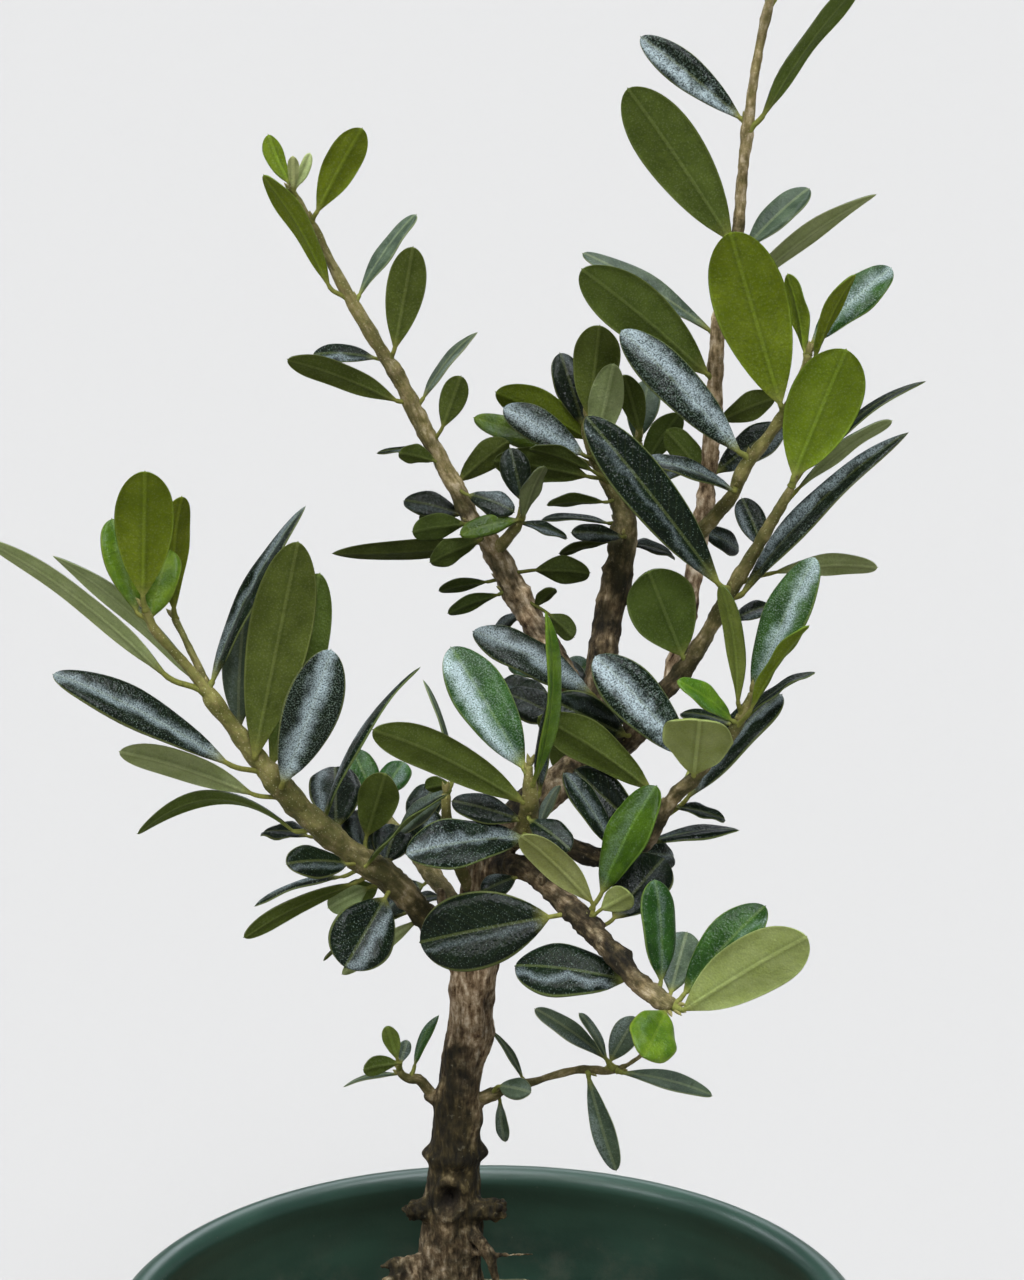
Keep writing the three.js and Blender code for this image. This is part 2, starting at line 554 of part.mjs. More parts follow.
    from: 'right_branch',
    route: [
      [36.6, 119, 10.6, 1.8], [39.4, 130, 14, 1.9], [41.8, 144, 17.6, 1.8], [43.6, 156, 19.8, 1.7],
      [44.6, 166, 20.6, 1.6], [45.6, 177.6, 21, 1.5], [46.2, 190.6, 21.6, 1.4], [47.4, 198.6, 22, 1.3],
      [50, 208.4, 22, 1.2], [51, 220, 22, 1.1], [52.2, 231, 22, 1], [54, 244, 21.4, 0.9],
      [56.8, 257, 20.6, 0.8],
      [59.4, 270, 19.8, 0.7], [60.8, 278, 19.4, 0.5],
    ],
    leaves: [
      leaf([44.4, 190], [19.2, 205.4], 8, 6.6, 45, { kind: 'sage', out: 2 }),
      leaf([43.8, 181.4], [19, 202.4], -8, 12, 165, { name: 'leader_low_leaf' }),
      leaf([48.6, 208.2], [28.2, 238.4], -8, 12.6, 170, { name: 'leader_green_leaf' }),
      leaf([50.4, 232.6], [30.8, 248.6], 5, 7.2, 20, { name: 'leader_pale_leaf' }),
      leaf([55.4, 233.2], [79, 264], -5, 8, -120, { name: 'leader_cut_leaf', outline: 'lance' }),
      leaf([52, 206.6], [64.4, 218.4], 5, 6.6, -30, { kind: 'sage' }),
      leaf([50, 197], [77.6, 217.6], -4, 7.4, -122, { kind: 'sage', outline: 'lance' }),
      leaf([46.6, 172], [57.6, 176.6], 5, 6.4, -150, { out: 2 }),
      leaf([46, 161.6], [59.2, 171], 4, 7.6, -20, { out: 1 }),
      leaf([43.6, 160.8], [36, 170], 5, 6.6, 160, { out: 3 }),
      leaf([42.6, 150], [50.4, 146], 6, 5.6, -30, { out: 3 }),
      leaf([40.2, 136], [33, 131.4], 10, 7, 30, { out: 4 }),
      leaf([58.4, 257.6], [67, 279], 3, 7, -160, { kind: 'fresh' }),
      leaf([55.6, 257.4], [43.6, 276], 3, 7, 160, { kind: 'fresh' }),
      leaf([61.4, 276], [68, 289], -3, 4.4, -165, { kind: 'fresh' }),
      leaf([60, 276], [56.8, 290], 3, 4.4, 15, { kind: 'fresh' }),
      leaf([60.8, 278.4], [62.4, 284], 0, 1.8, 20, { kind: 'bud' }),
    ],
  },
  right_upper_branch: {
    from: 'leader',
    route: [
      [42.4, 149, 18.6, 1.6], [45.4, 152.6, 15.6, 1.5], [49.2, 157.2, 12.4, 1.3], [51.8, 162.8, 10, 1.2],
      [58.8, 172.2, 6.6, 1], [62.8, 180, 4.6, 0.8], [64.4, 185.4, 3.8, 0.6],
    ],
    leaves: [
      leaf([50.2, 165.8], [27, 190], 5, 9.2, 15, { name: 'right_upper_shining_leaf', out: -2 }),
      leaf([58.6, 175.4], [48.6, 209.6], -6, 14.8, 180, { name: 'right_upper_great_leaf', kind: 'fresh' }),
      leaf([63.6, 185.6], [60.2, 201.2], 5, 6, 130, { kind: 'fresh' }),
      leaf([65.2, 187.6], [80.8, 202.4], 6, 8, -25, { name: 'right_upper_green_leaf', kind: 'green' }),
      leaf([65.6, 184.6], [73.4, 201.2], -3, 5.6, -125, { kind: 'fresh' }),
      leaf([49.2, 157.8], [31.4, 164.2], -3, 6, 55, { out: -2 }),
      leaf([60.4, 171.6], [64.6, 166.4], 6, 5.6, -40, { out: 3 }),
    ],
  },
  right_lower_branch: {
    route: [
      [14, 87.8, 3, 2.1], [20, 85.2, -1, 2], [25, 84.2, -3.6, 1.9], [30.8, 86.7, -6.3, 1.7],
      [33, 89.8, -8, 1.5],
      [37, 96.2, -10, 1.4], [41, 100, -12, 1.3], [45, 104.4, -13, 1.2], [48.8, 109, -13.6, 1],
      [51.6, 113.8, -14, 0.8], [53, 117.6, -14, 0.7],
    ],
    leaves: [
      leaf([48.8, 112], [38.2, 119.8], -4, 5.8, 38, { kind: 'fresh' }),
      leaf([41.4, 101.2], [42.6, 112.2], -12, 14, 180, { name: 'right_lower_pale_leaf', kind: 'lime' }),
      leaf([40.4, 96.8], [58.6, 117.4], 6, 10, -40, { name: 'right_lower_dark_leaf', out: 4 }),
      leaf([37.4, 94.6], [47.6, 92], 3, 5, -60, { out: 1 }),
      leaf([32.8, 87.6], [50.4, 90.2], 3, 6, -62, { out: 1, outline: 'lance' }),
      leaf([50.2, 116], [47, 139], -4, 6, 128, { kind: 'green' }),
      leaf([53.2, 117.6], [65.6, 144.4], 6, 9.6, -25, { name: 'right_lower_green_leaf', kind: 'green' }),
      leaf([53, 114.6], [64.2, 131], -4, 5.6, -120, { kind: 'fresh', out: -2 }),
      leaf([51.4, 112], [65.4, 121.6], 8, 6, -76, { out: 3 }),
      leaf([49, 111], [38.8, 113.4], 8, 5, 60, { out: 4 }),
      leaf([32.4, 98.4], [10.4, 113], -1, 9.6, 150, { name: 'right_lower_inner_leaf', out: 7 }),
      leaf([40, 104.8], [21.8, 124.8], 6, 11, 20, { name: 'right_inner_leaf', out: 8 }),
      leaf([30, 90.4], [17.5, 102], 5, 9, 0, { out: 3 }),
      leaf([25, 86.6], [15.5, 101.4], 2, 6, 30, { out: -4 }),
      leaf([31.4, 85], [37.4, 84.6], 6, 6, -30, { out: 3 }),
    ],
  },
  front_branch: {
    route: [
      [4.8, 87.6, 2.6, 1.9], [7.4, 89.6, -4, 1.8], [8.4, 93.6, -8.6, 1.6], [8.6, 97, -11.6, 1.4],
      [8.4, 100.4, -13, 0.9], [8.6, 103, -13.4, 0.6],
    ],
    leaves: [
      leaf([7.2, 102.6], [-7.2, 126.6], 12, 11.4, 10, { name: 'front_shining_leaf', kind: 'green' }),
      leaf([9.4, 99.6], [12.4, 133.6], -3, 7, 66,
        { name: 'front_upright_leaf', kind: 'fresh', outline: 'lance' }),
      leaf([7, 95.8], [-22.8, 110.6], -12, 9.6, 148, { name: 'front_left_leaf' }),
      leaf([10.6, 98], [13.6, 116], 1, 6, -55, { out: 2 }),
      leaf([10.6, 90.6], [14.4, 99], 4, 4.4, -55, { kind: 'sage' }),
      leaf([6.6, 92], [-7, 95.8], 2, 6.6, 30, { out: -3 }),
      leaf([7, 88.6], [-16, 85.4], -8, 11, 32, { name: 'front_dark_leaf', out: -5 }),
      leaf([8.6, 92], [16.6, 86], -6, 7, -30, { out: -3 }),
    ],
  },
  front_left_twig: {
    route: [[-3.4, 78, 6, 1.4], [-6.4, 85, 2, 1.2], [-8, 92, 0, 1.1], [-8.2, 97.6, -1, 0.7]],
    leaves: [
      leaf([-7.6, 98], [-17.4, 89.8], 3, 5, 30, { kind: 'sage' }),
      leaf([-7.6, 99.2], [-12.2, 98.4], 4, 4.4, 150, { out: 1 }),
      leaf([-7, 100], [-12.6, 120], 5, 5, 80, { kind: 'sage', outline: 'lance' }),
      leaf([-6.6, 91], [1.6, 86], -2, 5.6, -60, { out: 1 }),
    ],
  },
  front_right_branch: {
    route: [
      [3.4, 83, 2, 2.4], [8, 82.2, -3.6, 2.3], [12, 79, -9.6, 2.2], [17.6, 73.4, -18, 2.1],
      [23.6, 67.2, -27, 2],
      [30, 59.8, -36, 1.8], [34, 56.6, -40.5, 1.5], [37.4, 54.4, -43, 1.1],
    ],
    leaves: [
      leaf([12.4, 72.6], [-13.4, 67.6], 2, 15.8, 10, { name: 'front_great_leaf', out: -5 }),
      leaf([20.8, 75.8], [7, 89.2], -5, 7.6, 150, { kind: 'lime', out: -3 }),
      leaf([23, 77.6], [33.8, 98.8], 3, 9.6, -25, { name: 'front_vivid_leaf', kind: 'vivid', out: -2 }),
      leaf([23, 74.2], [28.8, 77.4], -6, 5.6, -170, { kind: 'lime', out: -2 }),
      leaf([25.4, 72.4], [35.4, 84.4], 9, 11, -10, { out: 3 }),
      leaf([34.8, 60], [33.6, 80], 4, 8, 35, { kind: 'green', out: -1 }),
      leaf([36.8, 57.6], [40, 69.6], 10, 8, -5, { kind: 'sage', out: 1.5 }),
      leaf([39.6, 57.4], [55.6, 74.8], 5, 9.6, -22, { name: 'front_right_upper_leaf', kind: 'green' }),
      leaf([39.6, 54.2], [64, 69], -9, 12.6, -165, { name: 'front_right_pale_leaf', kind: 'lime' }),
      leaf([35.6, 53.6], [31.2, 44.6], -14, 10, -15, { kind: 'fresh' }),
      leaf([27.6, 60], [5.6, 63], 6, 12, 25, { name: 'front_low_dark_leaf', out: 5 }),
      leaf([5.6, 80.4], [-1, 77.6], -4, 5.4, 30, { out: -3 }),
    ],
  },
  back_branch: {
    route: [
      [19.2, 106.4, 23, 2.2], [18.8, 109, 32, 2], [17, 112, 42, 1.7], [15, 115, 52, 1.4],
      [13.6, 117.6, 61, 1],
      [13, 119.4, 67, 0.7],
    ],
    leaves: [
      leaf([15.6, 111.6], [3.6, 117.4], 5, 9, 30),
      leaf([20.4, 111.2], [32, 116.4], 5, 9, -30),
      leaf([17, 115.4], [15.4, 124], 6, 8.4, 0),
      leaf([16.6, 109.6], [16, 101], 8, 8, 170, { out: 2 }),
      leaf([12.8, 115.8], [1.8, 118.4], 6, 8.4, 35),
      leaf([17.6, 114.6], [28, 117], 6, 8.4, -35),
      leaf([13.6, 120.4], [12, 127.6], 5, 7.6, 5),
      leaf([13.6, 115], [14, 107], 7, 7, 175, { out: 2 }),
      leaf([11.8, 120.4], [5, 124.4], 9, 7, 25, { kind: 'green' }),
      leaf([14.4, 120.2], [21, 123], 9, 7, -25, { kind: 'green' }),
    ],
  },
  back_left_branch: {
    route: [
      [-6, 74.2, 17.6, 1.9], [-9.4, 79, 24, 1.8], [-14, 85, 33, 1.5], [-18.6, 90.6, 42, 1.2],
      [-22, 95, 50, 0.8],
    ],
    leaves: [
      leaf([-11.2, 84.4], [-13, 94.6], 4, 8, 5),
      leaf([-12.8, 79], [-20, 74], 5, 8, 35, { out: 2 }),
      leaf([-18.4, 86.4], [-28.6, 84.6], 4, 8, 40),
      leaf([-15, 90], [-10.4, 99], 5, 8, -20),
      leaf([-22.8, 96.6], [-27, 106], 7, 7.6, 15, { kind: 'green' }),
      leaf([-21, 96.8], [-16.6, 103.6], 7, 7.2, -20, { kind: 'green' }),
    ],
  },
  lower_left_twig: {
    route: [[-10.8, 36.6, 9.4, 1.3], [-13.4, 39.8, 8.4, 0.9], [-15.4, 40.2, 8, 0.8], [-17, 41, 7.8, 0.7],
      [-17.6, 42.4, 7.6, 0.5]],
    leaves: [
      leaf([-14.4, 43.2], [-9.8, 53], 2, 4, -60, { kind: 'green', outline: 'lance' }),
      leaf([-18, 44.4], [-20, 50.8], -3, 3.6, 175, { kind: 'green' }),
      leaf([-18, 43.4], [-24.8, 42.2], -5, 4.6, 150, { out: -2 }),
      leaf([-17.2, 43.6], [-16, 48], 3, 2.8, 0, { kind: 'sage' }),
      leaf([-17.8, 41.2], [-28.8, 38.8], 3, 2.4, 72, { kind: 'sage', outline: 'lance' }),
    ],
  },
  lower_right_twig: {
    route: [
      [-2.2, 36, 8.7, 1.4], [4.6, 38.4, 7, 0.9], [8.4, 39.4, 6.4, 0.8], [17.6, 42, 5, 0.7],
      [24.8, 41.8, 4, 0.6],
      [28, 43, 3.6, 0.5], [31, 45, 3.2, 0.4]],
    leaves: [
      leaf([7, 40.6], [1, 49.8], 2, 3, 55, { kind: 'sage', outline: 'lance' }),
      leaf([2.6, 38.8], [8.6, 37.6], -6, 5, -20, { kind: 'sage', out: -2 }),
      leaf([2.6, 35.6], [3.6, 27.6], 2, 3, 20),
      leaf([23.4, 44.6], [9.6, 54.2], 2, 5, 35, { kind: 'sage' }),
      leaf([23.8, 44.4], [18.6, 53.4], -2, 3, 50, { kind: 'sage' }),
      leaf([24.8, 44], [29.8, 52.6], 4, 6, -10, { kind: 'sage' }),
      leaf([20.4, 40.2], [25.8, 21.8], -2, 5, 10),
      leaf([27.4, 41.4], [45, 37], -2, 5, -35),
    ],
  },
};

// A named leaf that grows straight from a limb's foot
const WOOD_LEAVES = [
  {
    on: 'central_foot',
    row: leaf([20.6, 117.4], [-2.6, 130], 3, 9.2, 30, { name: 'central_dark_leaf', out: -8 }),
  },
];

function largest(solid) {
  return solid.decompose().reduce((best, next) => (next.volume() > best.volume() ? next : best));
}

const stems = Object.fromEntries(
  Object.entries(BRANCHES).map(([name, branch]) => [name, Stem.along(branch.route)]),
);
const woodClearance = joined(
  Object.values(WOOD).map((stem) => solidOf(stemGeometry(stem, sidesOf(stem), GAP))),
);

function branchPieces(name, { from, leaves }) {
  const stem = stems[name];
  const parent = from ? solidOf(stemGeometry(stems[from], LIMB_SIDES, GAP)) : woodClearance;
  const grown = joined([
    solidOf(stemGeometry(stem, TWIG_SIDES)),
    ...leaves.filter((row) => !row.name).map((row) => solidOf(leafGeometry(stem, row, 0))),
  ]);
  add(name, geometryOf(largest(grown.subtract(parent))), 'twig');
  const clearance = solidOf(stemGeometry(stem, LIMB_SIDES, GAP));
  leaves.filter((row) => row.name).forEach((row) => {
    const blade = solidOf(leafGeometry(stem, row, GAP)).subtract(clearance);
    add(row.name, geometryOf(largest(blade)), row.kind ?? 'dark');
  });
}

Object.entries(BRANCHES).forEach(([name, branch]) => branchPieces(name, branch));
WOOD_LEAVES.forEach(({ on, row }) => {
  const blade = solidOf(leafGeometry(WOOD[on], row, GAP)).subtract(woodClearance);
  add(row.name, geometryOf(largest(blade)), row.kind ?? 'dark');
});

export default olive;
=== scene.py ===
"""The looks of an olive bonsai in its nursery pot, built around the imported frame.

Shapes are laid out in millimetres in the frame's own axes, and become metres when a piece is made.
The plant is laid out as one eye sees it. A place on it is (across, up, back). across and up are millimetres
on the sheet through AIM that faces the eye, and back is the true depth, world Y.
"""

import math
import random

import bmesh
import bpy
import numpy as np
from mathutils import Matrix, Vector, noise


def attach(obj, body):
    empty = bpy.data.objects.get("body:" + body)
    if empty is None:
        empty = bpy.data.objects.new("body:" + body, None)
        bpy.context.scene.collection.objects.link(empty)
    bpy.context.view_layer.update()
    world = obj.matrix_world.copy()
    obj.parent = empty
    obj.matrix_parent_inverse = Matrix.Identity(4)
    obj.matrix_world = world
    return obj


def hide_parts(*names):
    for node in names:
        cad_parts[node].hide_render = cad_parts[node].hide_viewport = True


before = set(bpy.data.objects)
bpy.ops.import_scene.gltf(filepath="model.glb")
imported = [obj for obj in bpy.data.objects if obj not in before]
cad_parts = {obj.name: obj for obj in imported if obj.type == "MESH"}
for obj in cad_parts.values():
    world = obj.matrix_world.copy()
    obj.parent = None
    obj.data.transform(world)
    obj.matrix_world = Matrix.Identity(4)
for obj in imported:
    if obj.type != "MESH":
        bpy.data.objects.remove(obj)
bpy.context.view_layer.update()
MM = 0.001

# The eye that the plant is laid out for, and its sheet
EYE_DISTANCE = 600
EYE_PITCH = math.radians(13)
AIM = np.array([5.0, 0.0, 292.0])
SHEET_MIDDLE = (5, 128)
SIGHT = np.array([0, math.cos(EYE_PITCH), -math.sin(EYE_PITCH)])
SHEET_UP = np.array([0, math.sin(EYE_PITCH), math.cos(EYE_PITCH)])
SHEET_ACROSS = np.array([1.0, 0.0, 0.0])
EYE = AIM - EYE_DISTANCE * SIGHT
SHEET_HEIGHT = 256  # what the camera takes in, from the picture's foot to its top

# Pot and soil
POT_HEIGHT = 147
RIM_RADIUS = 80
BASE_RADIUS = 57
WALL = 2.2
LIP_HEIGHT = 11
LIP_PROUD = 3.4
FLOOR = 3
HOLE_RADIUS = 5
HOLE_CIRCLE = 36
HOLES = 6
SOIL_TOP = 121.5
SOIL_MOUND = 3
GAP = 0.3


def place(across, up, back):
    spot = AIM + SHEET_ACROSS * (across - SHEET_MIDDLE[0]) + SHEET_UP * (up - SHEET_MIDDLE[1])
    ray = spot - EYE
    return EYE + ray * ((back - EYE[1]) / ray[1])


def unit(vector):
    return vector / np.linalg.norm(vector, axis=-1, keepdims=True)


def squared(direction, axis):
    """The part of direction that is square to axis, at length 1."""
    return unit(direction - axis * np.sum(direction * axis, axis=-1, keepdims=True))


def smooth_step(value, low, high):
    part = np.clip((np.asarray(value, float) - low) / (high - low), 0, 1)
    return part * part * (3 - 2 * part)


def bell(distance, width):
    """1 at no distance, falling smoothly to nearly 0 at twice the width."""
    return np.exp(-((distance / width) ** 2))


def roughness_at(points, size, octaves=3):
    """Smooth noise from about -1 to 1 at each point, with lumps of that size in millimetres."""
    fading, step = 0.9, 2.1
    return np.array([noise.fractal(Vector(p / size), fading, step, octaves) for p in points])


class Stem:
    """A smooth curve through its places, each with its own radius. t runs along it from 0 to 1."""

    LENGTH_PARTS = 200
    SEARCH_PARTS = 24  # for each span between two places
    NUDGE = 1e-4

    def __init__(self, points, radii):
        points = np.array(points, float)
        self.ends = np.vstack([2 * points[0] - points[1], points, 2 * points[-1] - points[-2]])
        self.radii = np.array(radii, float)
        self.spans = len(points) - 1
        steps = self.at(np.linspace(0, 1, self.LENGTH_PARTS + 1))
        self.length = np.linalg.norm(np.diff(steps, axis=0), axis=1).sum()

    @classmethod
    def along(cls, route):
        return cls([place(*row[:3]) for row in route], [row[3] for row in route])

    def at(self, t):
        along = np.clip(t, 0, 1) * self.spans
        first = np.minimum(np.floor(along).astype(int), self.spans - 1)
        w = (along - first)[..., None]
        before, start, end, after = (self.ends[first + k] for k in range(4))
        leave, arrive = (end - before) / 2, (after - start) / 2
        bend = -3 * start + 3 * end - 2 * leave - arrive
        return start + leave * w + bend * w**2 + (2 * start - 2 * end + leave + arrive) * w**3

    def radius(self, t):
        return np.interp(np.clip(t, 0, 1) * self.spans, np.arange(self.spans + 1), self.radii)

    def tangent(self, t):
        return unit(self.at(np.asarray(t) + self.NUDGE) - self.at(np.asarray(t) - self.NUDGE))

    def nearest(self, across, up):
        """Where along the curve the eye sees it closest to a place on the sheet."""
        t = np.linspace(0, 1, self.spans * self.SEARCH_PARTS + 1)
        ray = self.at(t) - EYE
        scale = EYE_DISTANCE / (ray @ SIGHT)
        seen_across = SHEET_MIDDLE[0] + ray @ SHEET_ACROSS * scale
        seen_up = SHEET_MIDDLE[1] + ray @ SHEET_UP * scale
        return t[np.argmin(np.hypot(seen_across - across, seen_up - up))]


class Skin:
    """Collects the surfaces of one piece, with named values at each point, and makes its mesh.

    side is 1 on a leaf's upper face and 0 under it. across and along are millimetres on its blade.
    rim is 1 at the rim of a blade or of the soil. stalk is 1 on a petiole. luck is one draw for each leaf
    or crumb. The bloom and sheen value is how thick a leaf's wax lies and how strong the sheen painted on it
    is.
    The painted shade value is how dark painted shade makes a hole, a crack or a shaded leaf.
    youth is 1 on a green shoot. tan is how fair old bark is. The grain values are a place along the bark.
    """

    VALUES = ("side", "across", "along", "rim", "stalk", "luck", "bloom", "youth", "tan", "hollow",
              "grain_x", "grain_y", "grain_z")

    def __init__(self):
        self.points, self.faces, self.slots = [], [], []
        self.values = {name: [] for name in self.VALUES}
        self.count = 0

    def add(self, points, faces, slot=0, **values):
        """values hold one number for the whole surface, or one for each point."""
        points = np.asarray(points, float).reshape(-1, 3)
        self.faces += [[index + self.count for index in face] for face in faces]
        self.slots += [slot] * len(faces)
        self.points.append(points)
        for name in self.VALUES:
            self.values[name].append(np.broadcast_to(np.asarray(values.get(name, 0.0), float), len(points)))
        self.count += len(points)

    def piece(self, name, materials=()):
        mesh = bpy.data.meshes.new(name)
        points = np.vstack(self.points)
        mesh.from_pydata((points * MM).tolist(), [], self.faces)
        mesh.polygons.foreach_set("material_index", self.slots)
        mesh.polygons.foreach_set("use_smooth", [True] * len(self.faces))
        for material in materials:
            mesh.materials.append(material)
        for value, parts in self.values.items():
            numbers = np.concatenate(parts).astype(np.float32)
            if numbers.any():
                mesh.attributes.new(value, "FLOAT", "POINT").data.foreach_set("value", numbers)
        mesh.update()
        return linked(bpy.data.objects.new(name, mesh))


def linked(thing):
    bpy.context.scene.collection.objects.link(thing)
    return thing


def finish_piece(thing, node):
    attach(thing, "root")
    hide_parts(node)


def rings_to_faces(rings, sides, closed_start=True, closed_end=True):
    """Faces of a tube whose rings of points follow each other, all turning the same way."""
    faces = []
    for low in range(0, (rings - 1) * sides, sides):
        for side in range(sides):
            after = (side + 1) % sides
            faces.append([low + side, low + after, low + sides + after, low + sides + side])
    if closed_start:
        faces.append(list(range(sides - 1, -1, -1)))
    if closed_end:
        faces.append(list(range((rings - 1) * sides, rings * sides)))
    return faces


def carried_frames(tangents, side):
    """Two directions square to each tangent, carried along a curve with no twist from the given side."""
    sides = []
    for tangent in tangents:
        side = squared(side, tangent)
        sides.append(side)
    sides = np.array(sides)
    return sides, np.cross(sides, tangents)


def round_turn(sides):
    return np.arange(sides) / sides * 2 * math.pi


def ways_out(across, front, angles):
    """The directions from each ring's middle to its points."""
    return across[:, None] * np.cos(angles)[None, :, None] + front[:, None] * np.sin(angles)[None, :, None]


def tube(stem, rings, sides, side):
    """The rings of points on a plain round stem."""
    t = np.linspace(0, 1, rings)
    across, front = carried_frames(stem.tangent(t), side)
    return stem.at(t)[:, None] + ways_out(across, front, round_turn(sides)) * stem.radius(t)[:, None, None]


# The plant's layout


def leaf(base, tip, lean, wide, turn, name=None, kind="dark", out=0, outline="oval", bow=0, arch=0.05,
         bloom=None):
    """A leaf's row: where its blade starts and ends on the sheet, how far its tip leans back, and its width.

    A turn of 0 shows the glossy upper side, 180 the underside, and 90 an edge, with its upper side right.
    out is how far behind its stem the blade starts. bow bends it sideways and arch lengthways. The bloom
    and sheen value is how thick its pale wax lies and how strong the sheen painted on it is, from 0 to 1.
    A leaf with a name is a piece of its own.
    """
    return {"base": base, "tip": tip, "lean": lean, "wide": wide, "turn": turn, "name": name, "kind": kind,
            "out": out, "outline": outline, "bow": bow, "arch": arch, "bloom": bloom}


# The trunk and the feet of its limbs. Each place is (across, up, back, radius).
WOOD = {
    "trunk": [
        (-7.5, -46, 14, 10),
        (-7.5, -34, 14, 13),
        (-7.5, -24, 14, 12),
        (-7.4, -12, 13, 8.8),
        (-7.2, 2, 12, 6.8),
        (-6.9, 18, 11, 5.7),
        (-5.9, 36, 10, 4.9),
        (-3.6, 50, 9, 4.7),
        (-2.4, 64, 8, 4.6),
        (-1.4, 77, 7, 4.2),
        (4, 90, 8, 4.1),
        (14, 99, 9, 3.8),
        (21, 105, 11, 3.2),
    ],
    "left_foot": [(-3.8, 62, 8, 3), (-7.4, 66.6, 6.8, 2.7), (-10.6, 70.2, 5.2, 2.5)],
    "back_left_foot": [(-3, 70, 9, 2.6), (-5.4, 73, 15, 2.2), (-7, 75.4, 20, 1.9)],
    "front_right_foot": [(-2, 79, 7, 2.9), (2, 82.6, 3, 2.6), (5.4, 83.2, -0.6, 2.3)],
    "front_foot": [(2, 87, 8, 2.4), (5, 87.8, 2, 2.1), (6.6, 88.8, -2, 1.8)],
    "right_lower_foot": [(7, 92, 8, 2.6), (12, 88.6, 4, 2.3), (16, 87, 2, 2.1)],
    "upper_left_foot": [(21, 105, 12, 3), (19, 111, 14.4, 2.9), (17.4, 116, 16.6, 2.8)],
    "central_foot": [(20, 103, 11, 3.2), (21.4, 110, 16, 3.1), (22.2, 117, 20, 3)],
    "right_foot": [(17, 100, 10, 3.2), (22, 103.8, 11.4, 2.8), (26, 106.4, 12, 2.6)],
    "back_foot": [(19, 103, 12, 2.8), (19.4, 105.4, 20, 2.4), (19, 107.6, 27, 2.1)],
    "left_twig_foot": [(-7, 35.6, 10, 2), (-10.4, 36.4, 9.4, 1.6), (-11.8, 37.6, 9, 1.2)],
    "right_twig_foot": [(-6, 35, 10, 2.2), (-2.8, 35.8, 8.8, 1.8), (-1, 36.2, 8.4, 1.4)],
    "left_stub": [(-8, 14, 11, 2.6), (-14.2, 14, 8, 2.2), (-16.4, 14.6, 7.6, 1.4)],
    "right_stub": [(-6, 14, 10, 2.8), (0.6, 14, 7, 2.5), (3.4, 14.4, 6, 2.3)],
}

